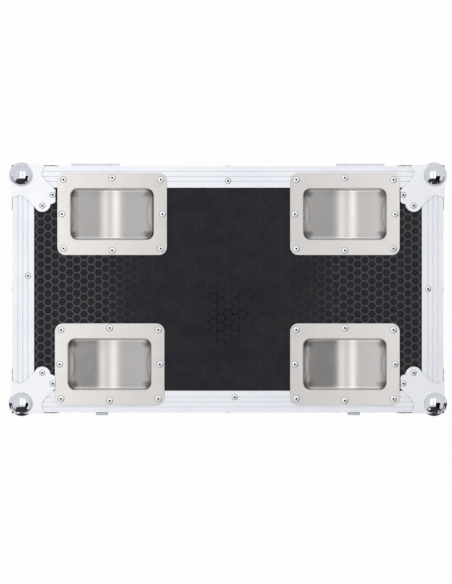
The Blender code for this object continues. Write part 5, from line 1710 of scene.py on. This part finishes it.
@dataclass
class Inside(Assembly):
    """The divider and the foam slabs, their edges rounded."""

    divider_rounding: float = 0.6 * MM
    foam_rounding: float = 2.5 * MM

    def build(self) -> None:
        """Build what the case carries inside."""
        shop = self.shop
        shop.refine("divider", "base", "divider_wood", shop.finishes.wood, self.divider_rounding, 3)
        for half in Half:
            name = half.value
            pad = shop.refine(f"{name}_foam_pad", name, "black_foam", shop.finishes.foam,
                              self.foam_rounding, 4, name=f"{name}_foam_slab")


@dataclass
class Studio:
    """The floor, the lamps, the world and the camera."""

    distance: float = 9.0
    lens: float = 341.5
    aim: Pair = (-3.2 * MM, -4.5 * MM)
    strip_length: float = 1.7
    strip_middle: float = 0.35
    strip_level: float = 2.16
    strips: tuple = ((-0.75, -0.212, 1.3), (0.186, 0.70, 1.0))
    flag_place: tuple = (-0.005, -0.042, 2.15)
    flag_radius: float = 0.060
    screen: tuple = (1.67, -1.115, 2.16, 1.86, 2.17)
    cards: tuple = ((0.07, -0.52, 0.80, 0.10), (-0.56, -0.83, 0.49, 0.11), (0.68, -0.79, 0.68, 0.08))
    floor_half: float = 6.0

    def camera(self) -> None:
        """The camera straight above the lid, up along the case's back."""
        data = bpy.data.cameras.new("camera")
        data.lens = self.lens
        data.sensor_width = 36.0
        data.clip_end = 100.0
        made = shown("camera", data)
        made.location = (*self.aim, LID_TOP + self.distance)
        bpy.context.scene.camera = made

    def lamps(self) -> None:
        """Two long softboxes over the lid."""
        for number, (left, right, radiance) in enumerate(self.strips):
            data = bpy.data.lights.new(f"softbox_{number}", "AREA")
            data.shape = "RECTANGLE"
            data.size = right - left
            data.size_y = self.strip_length
            data.energy = radiance * math.pi * data.size * data.size_y
            made = shown(f"softbox_{number}", data)
            made.location = ((left + right) / 2, self.strip_middle, self.strip_level)

    def reflections(self) -> None:
        """The dark opening above the lid, a dark screen at its right and three small pale cards."""
        opening = bmesh.new()
        bmesh.ops.create_circle(opening, cap_ends=True, segments=32, radius=self.flag_radius)
        moved(opening, Matrix.Translation(self.flag_place))
        self.reflected("dark_opening", opening, (0.004,) * 3, (0.008,) * 3, 0.0)
        x, y, level, wide, high = self.screen
        screen = self.sheet(wide, high, Matrix.Translation((x, y, level)))
        self.reflected("dark_screens", screen, (0.010,) * 3, (0.016,) * 3, 0.0)
        pale = bmesh.new()
        for x, y, z, size in self.cards:
            joined(pale, self.sheet(size, size * 1.3, Matrix.Translation((x, y, z)) @ UPRIGHT))
        self.reflected("pale_cards", pale, (0.9,) * 3, (0.95,) * 3, 1.1)

    @staticmethod
    def sheet(wide: float, high: float, place: Matrix) -> Mesh:
        """A flat sheet.

        Args:
            wide: Its size along X.
            high: Its other size.
            place: Where it lies.

        Returns:
            The sheet.
        """
        mesh = bmesh.new()
        bmesh.ops.create_grid(mesh, x_segments=1, y_segments=1, size=0.5)
        return moved(mesh, place @ Matrix.Diagonal((wide, high, 1, 1)))

    @staticmethod
    def reflected(name: str, mesh: Mesh, first: Colour, second: Colour, glow: float) -> None:
        """Set up something that only reflections show.

        Args:
            name: Its name.
            mesh: Its shape, which is freed.
            first: One of its two colours.
            second: The other.
            glow: How strongly it shines.
        """
        look = Look(f"{name}_cloth")
        shade = look.graph.blend(look.graph.noise(look.coords, 30.0, 2.0), first, second)
        look.feed("Base Color", shade)
        look.feed("Emission Color", shade)
        look.constant(Roughness=1.0, Specular_IOR_Level=0.0, Emission_Strength=glow)
        made = shown(name, stored(mesh, name))
        made.data.materials.append(look.material)
        made.visible_camera = made.visible_diffuse = made.visible_shadow = False

    def world(self) -> None:
        """White to the camera, an even fill for the object, and a studio room in its reflections."""
        world = bpy.data.worlds.new("studio")
        bpy.context.scene.world = world
        world.use_nodes = True
        world.node_tree.nodes.clear()
        graph = Graph(world.node_tree)
        rays = graph.add("ShaderNodeLightPath").outputs
        across, back, up = graph.split(graph.add("ShaderNodeTexCoord").outputs["Generated"])
        room = graph.blend(graph.smooth(up, -0.1, 0.75), (0.635, 0.645, 0.677), (0.672, 0.686, 0.727))
        room = graph.blend(graph.smooth(up, 0.985, 0.996), room, (0.335, 0.345, 0.395))
        side = graph.smooth(graph.math("ABSOLUTE", across), 0.62, 0.85)
        front = graph.times(graph.smooth(back, -0.42, -0.60), graph.smooth(up, -0.35, -0.15))
        dark = graph.times(front, rays["Is Singular Ray"], graph.minus(1.0, side))
        room = graph.blend(dark, room, (0.035, 0.035, 0.040))
        fill = graph.blend(rays["Is Glossy Ray"], (0.36, 0.36, 0.365), room)
        seen = graph.blend(rays["Is Camera Ray"], fill, (1.0, 1.0, 1.0))
        surface = graph.add("ShaderNodeBackground", {0: seen, 1: 1.0})
        graph.add("ShaderNodeOutputWorld", {0: surface.outputs[0]})

    def floor(self) -> None:
        """A plain pale floor that keeps a faint shadow, is dark in mirrors and is clear from below."""
        mesh = bmesh.new()
        bmesh.ops.create_grid(mesh, x_segments=2, y_segments=2, size=self.floor_half)
        look = Look("pale_floor")
        graph = look.graph
        look.feed("Base Color", graph.blend(graph.noise(look.coords, 2.0, 2.0), (0.90,) * 3, (0.93,) * 3))
        look.constant(Roughness=0.8, Specular_IOR_Level=0.2)
        rays = graph.add("ShaderNodeLightPath").outputs
        back = graph.split(look.coords)[1]
        strip = graph.times(graph.smooth(back, -0.14, -0.22), graph.smooth(back, -5.5, -4.5))
        sharp = graph.times(strip, rays["Is Singular Ray"])
        mirrored = graph.blend(sharp, (0.66, 0.675, 0.715), (0.03, 0.03, 0.035))
        tint = graph.blend(rays["Is Camera Ray"], mirrored, (1.0, 1.0, 1.0))
        glow = graph.add("ShaderNodeEmission", {0: tint, 1: 1.0}).outputs[0]
        share = graph.scaled(rays["Is Camera Ray"], 0.98, rays["Is Glossy Ray"])
        mixed = graph.add("ShaderNodeMixShader", {0: share, 1: look.shader.outputs[0], 2: glow}).outputs[0]
        below = graph.add("ShaderNodeNewGeometry").outputs["Backfacing"]
        clear = graph.add("ShaderNodeBsdfTransparent").outputs[0]
        ground = graph.add("ShaderNodeMixShader", {0: below, 1: mixed, 2: clear}).outputs[0]
        graph.fill(look.output, {0: ground})
        made = shown("floor", stored(mesh, "floor"))
        made.data.materials.append(look.material)

    def build(self) -> None:
        """Set up the whole studio."""
        bpy.context.scene.view_settings.view_transform = "Standard"
        self.camera()
        self.lamps()
        self.reflections()
        self.world()
        self.floor()


def main() -> None:
    """Build the case and the studio."""
    logging.basicConfig(level=logging.INFO, format="%(name)s: %(message)s")
    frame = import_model()
    Studio().build()
    shop = Workshop(frame, Finishes())
    for assembly in (Shell, BallCorners, CastorDishes, Castors, EndHandles, Hinges, Latches, Inside):
        assembly(shop).build()
    LOG.info("the case is dressed")


if __name__ == "__main__":
    main()
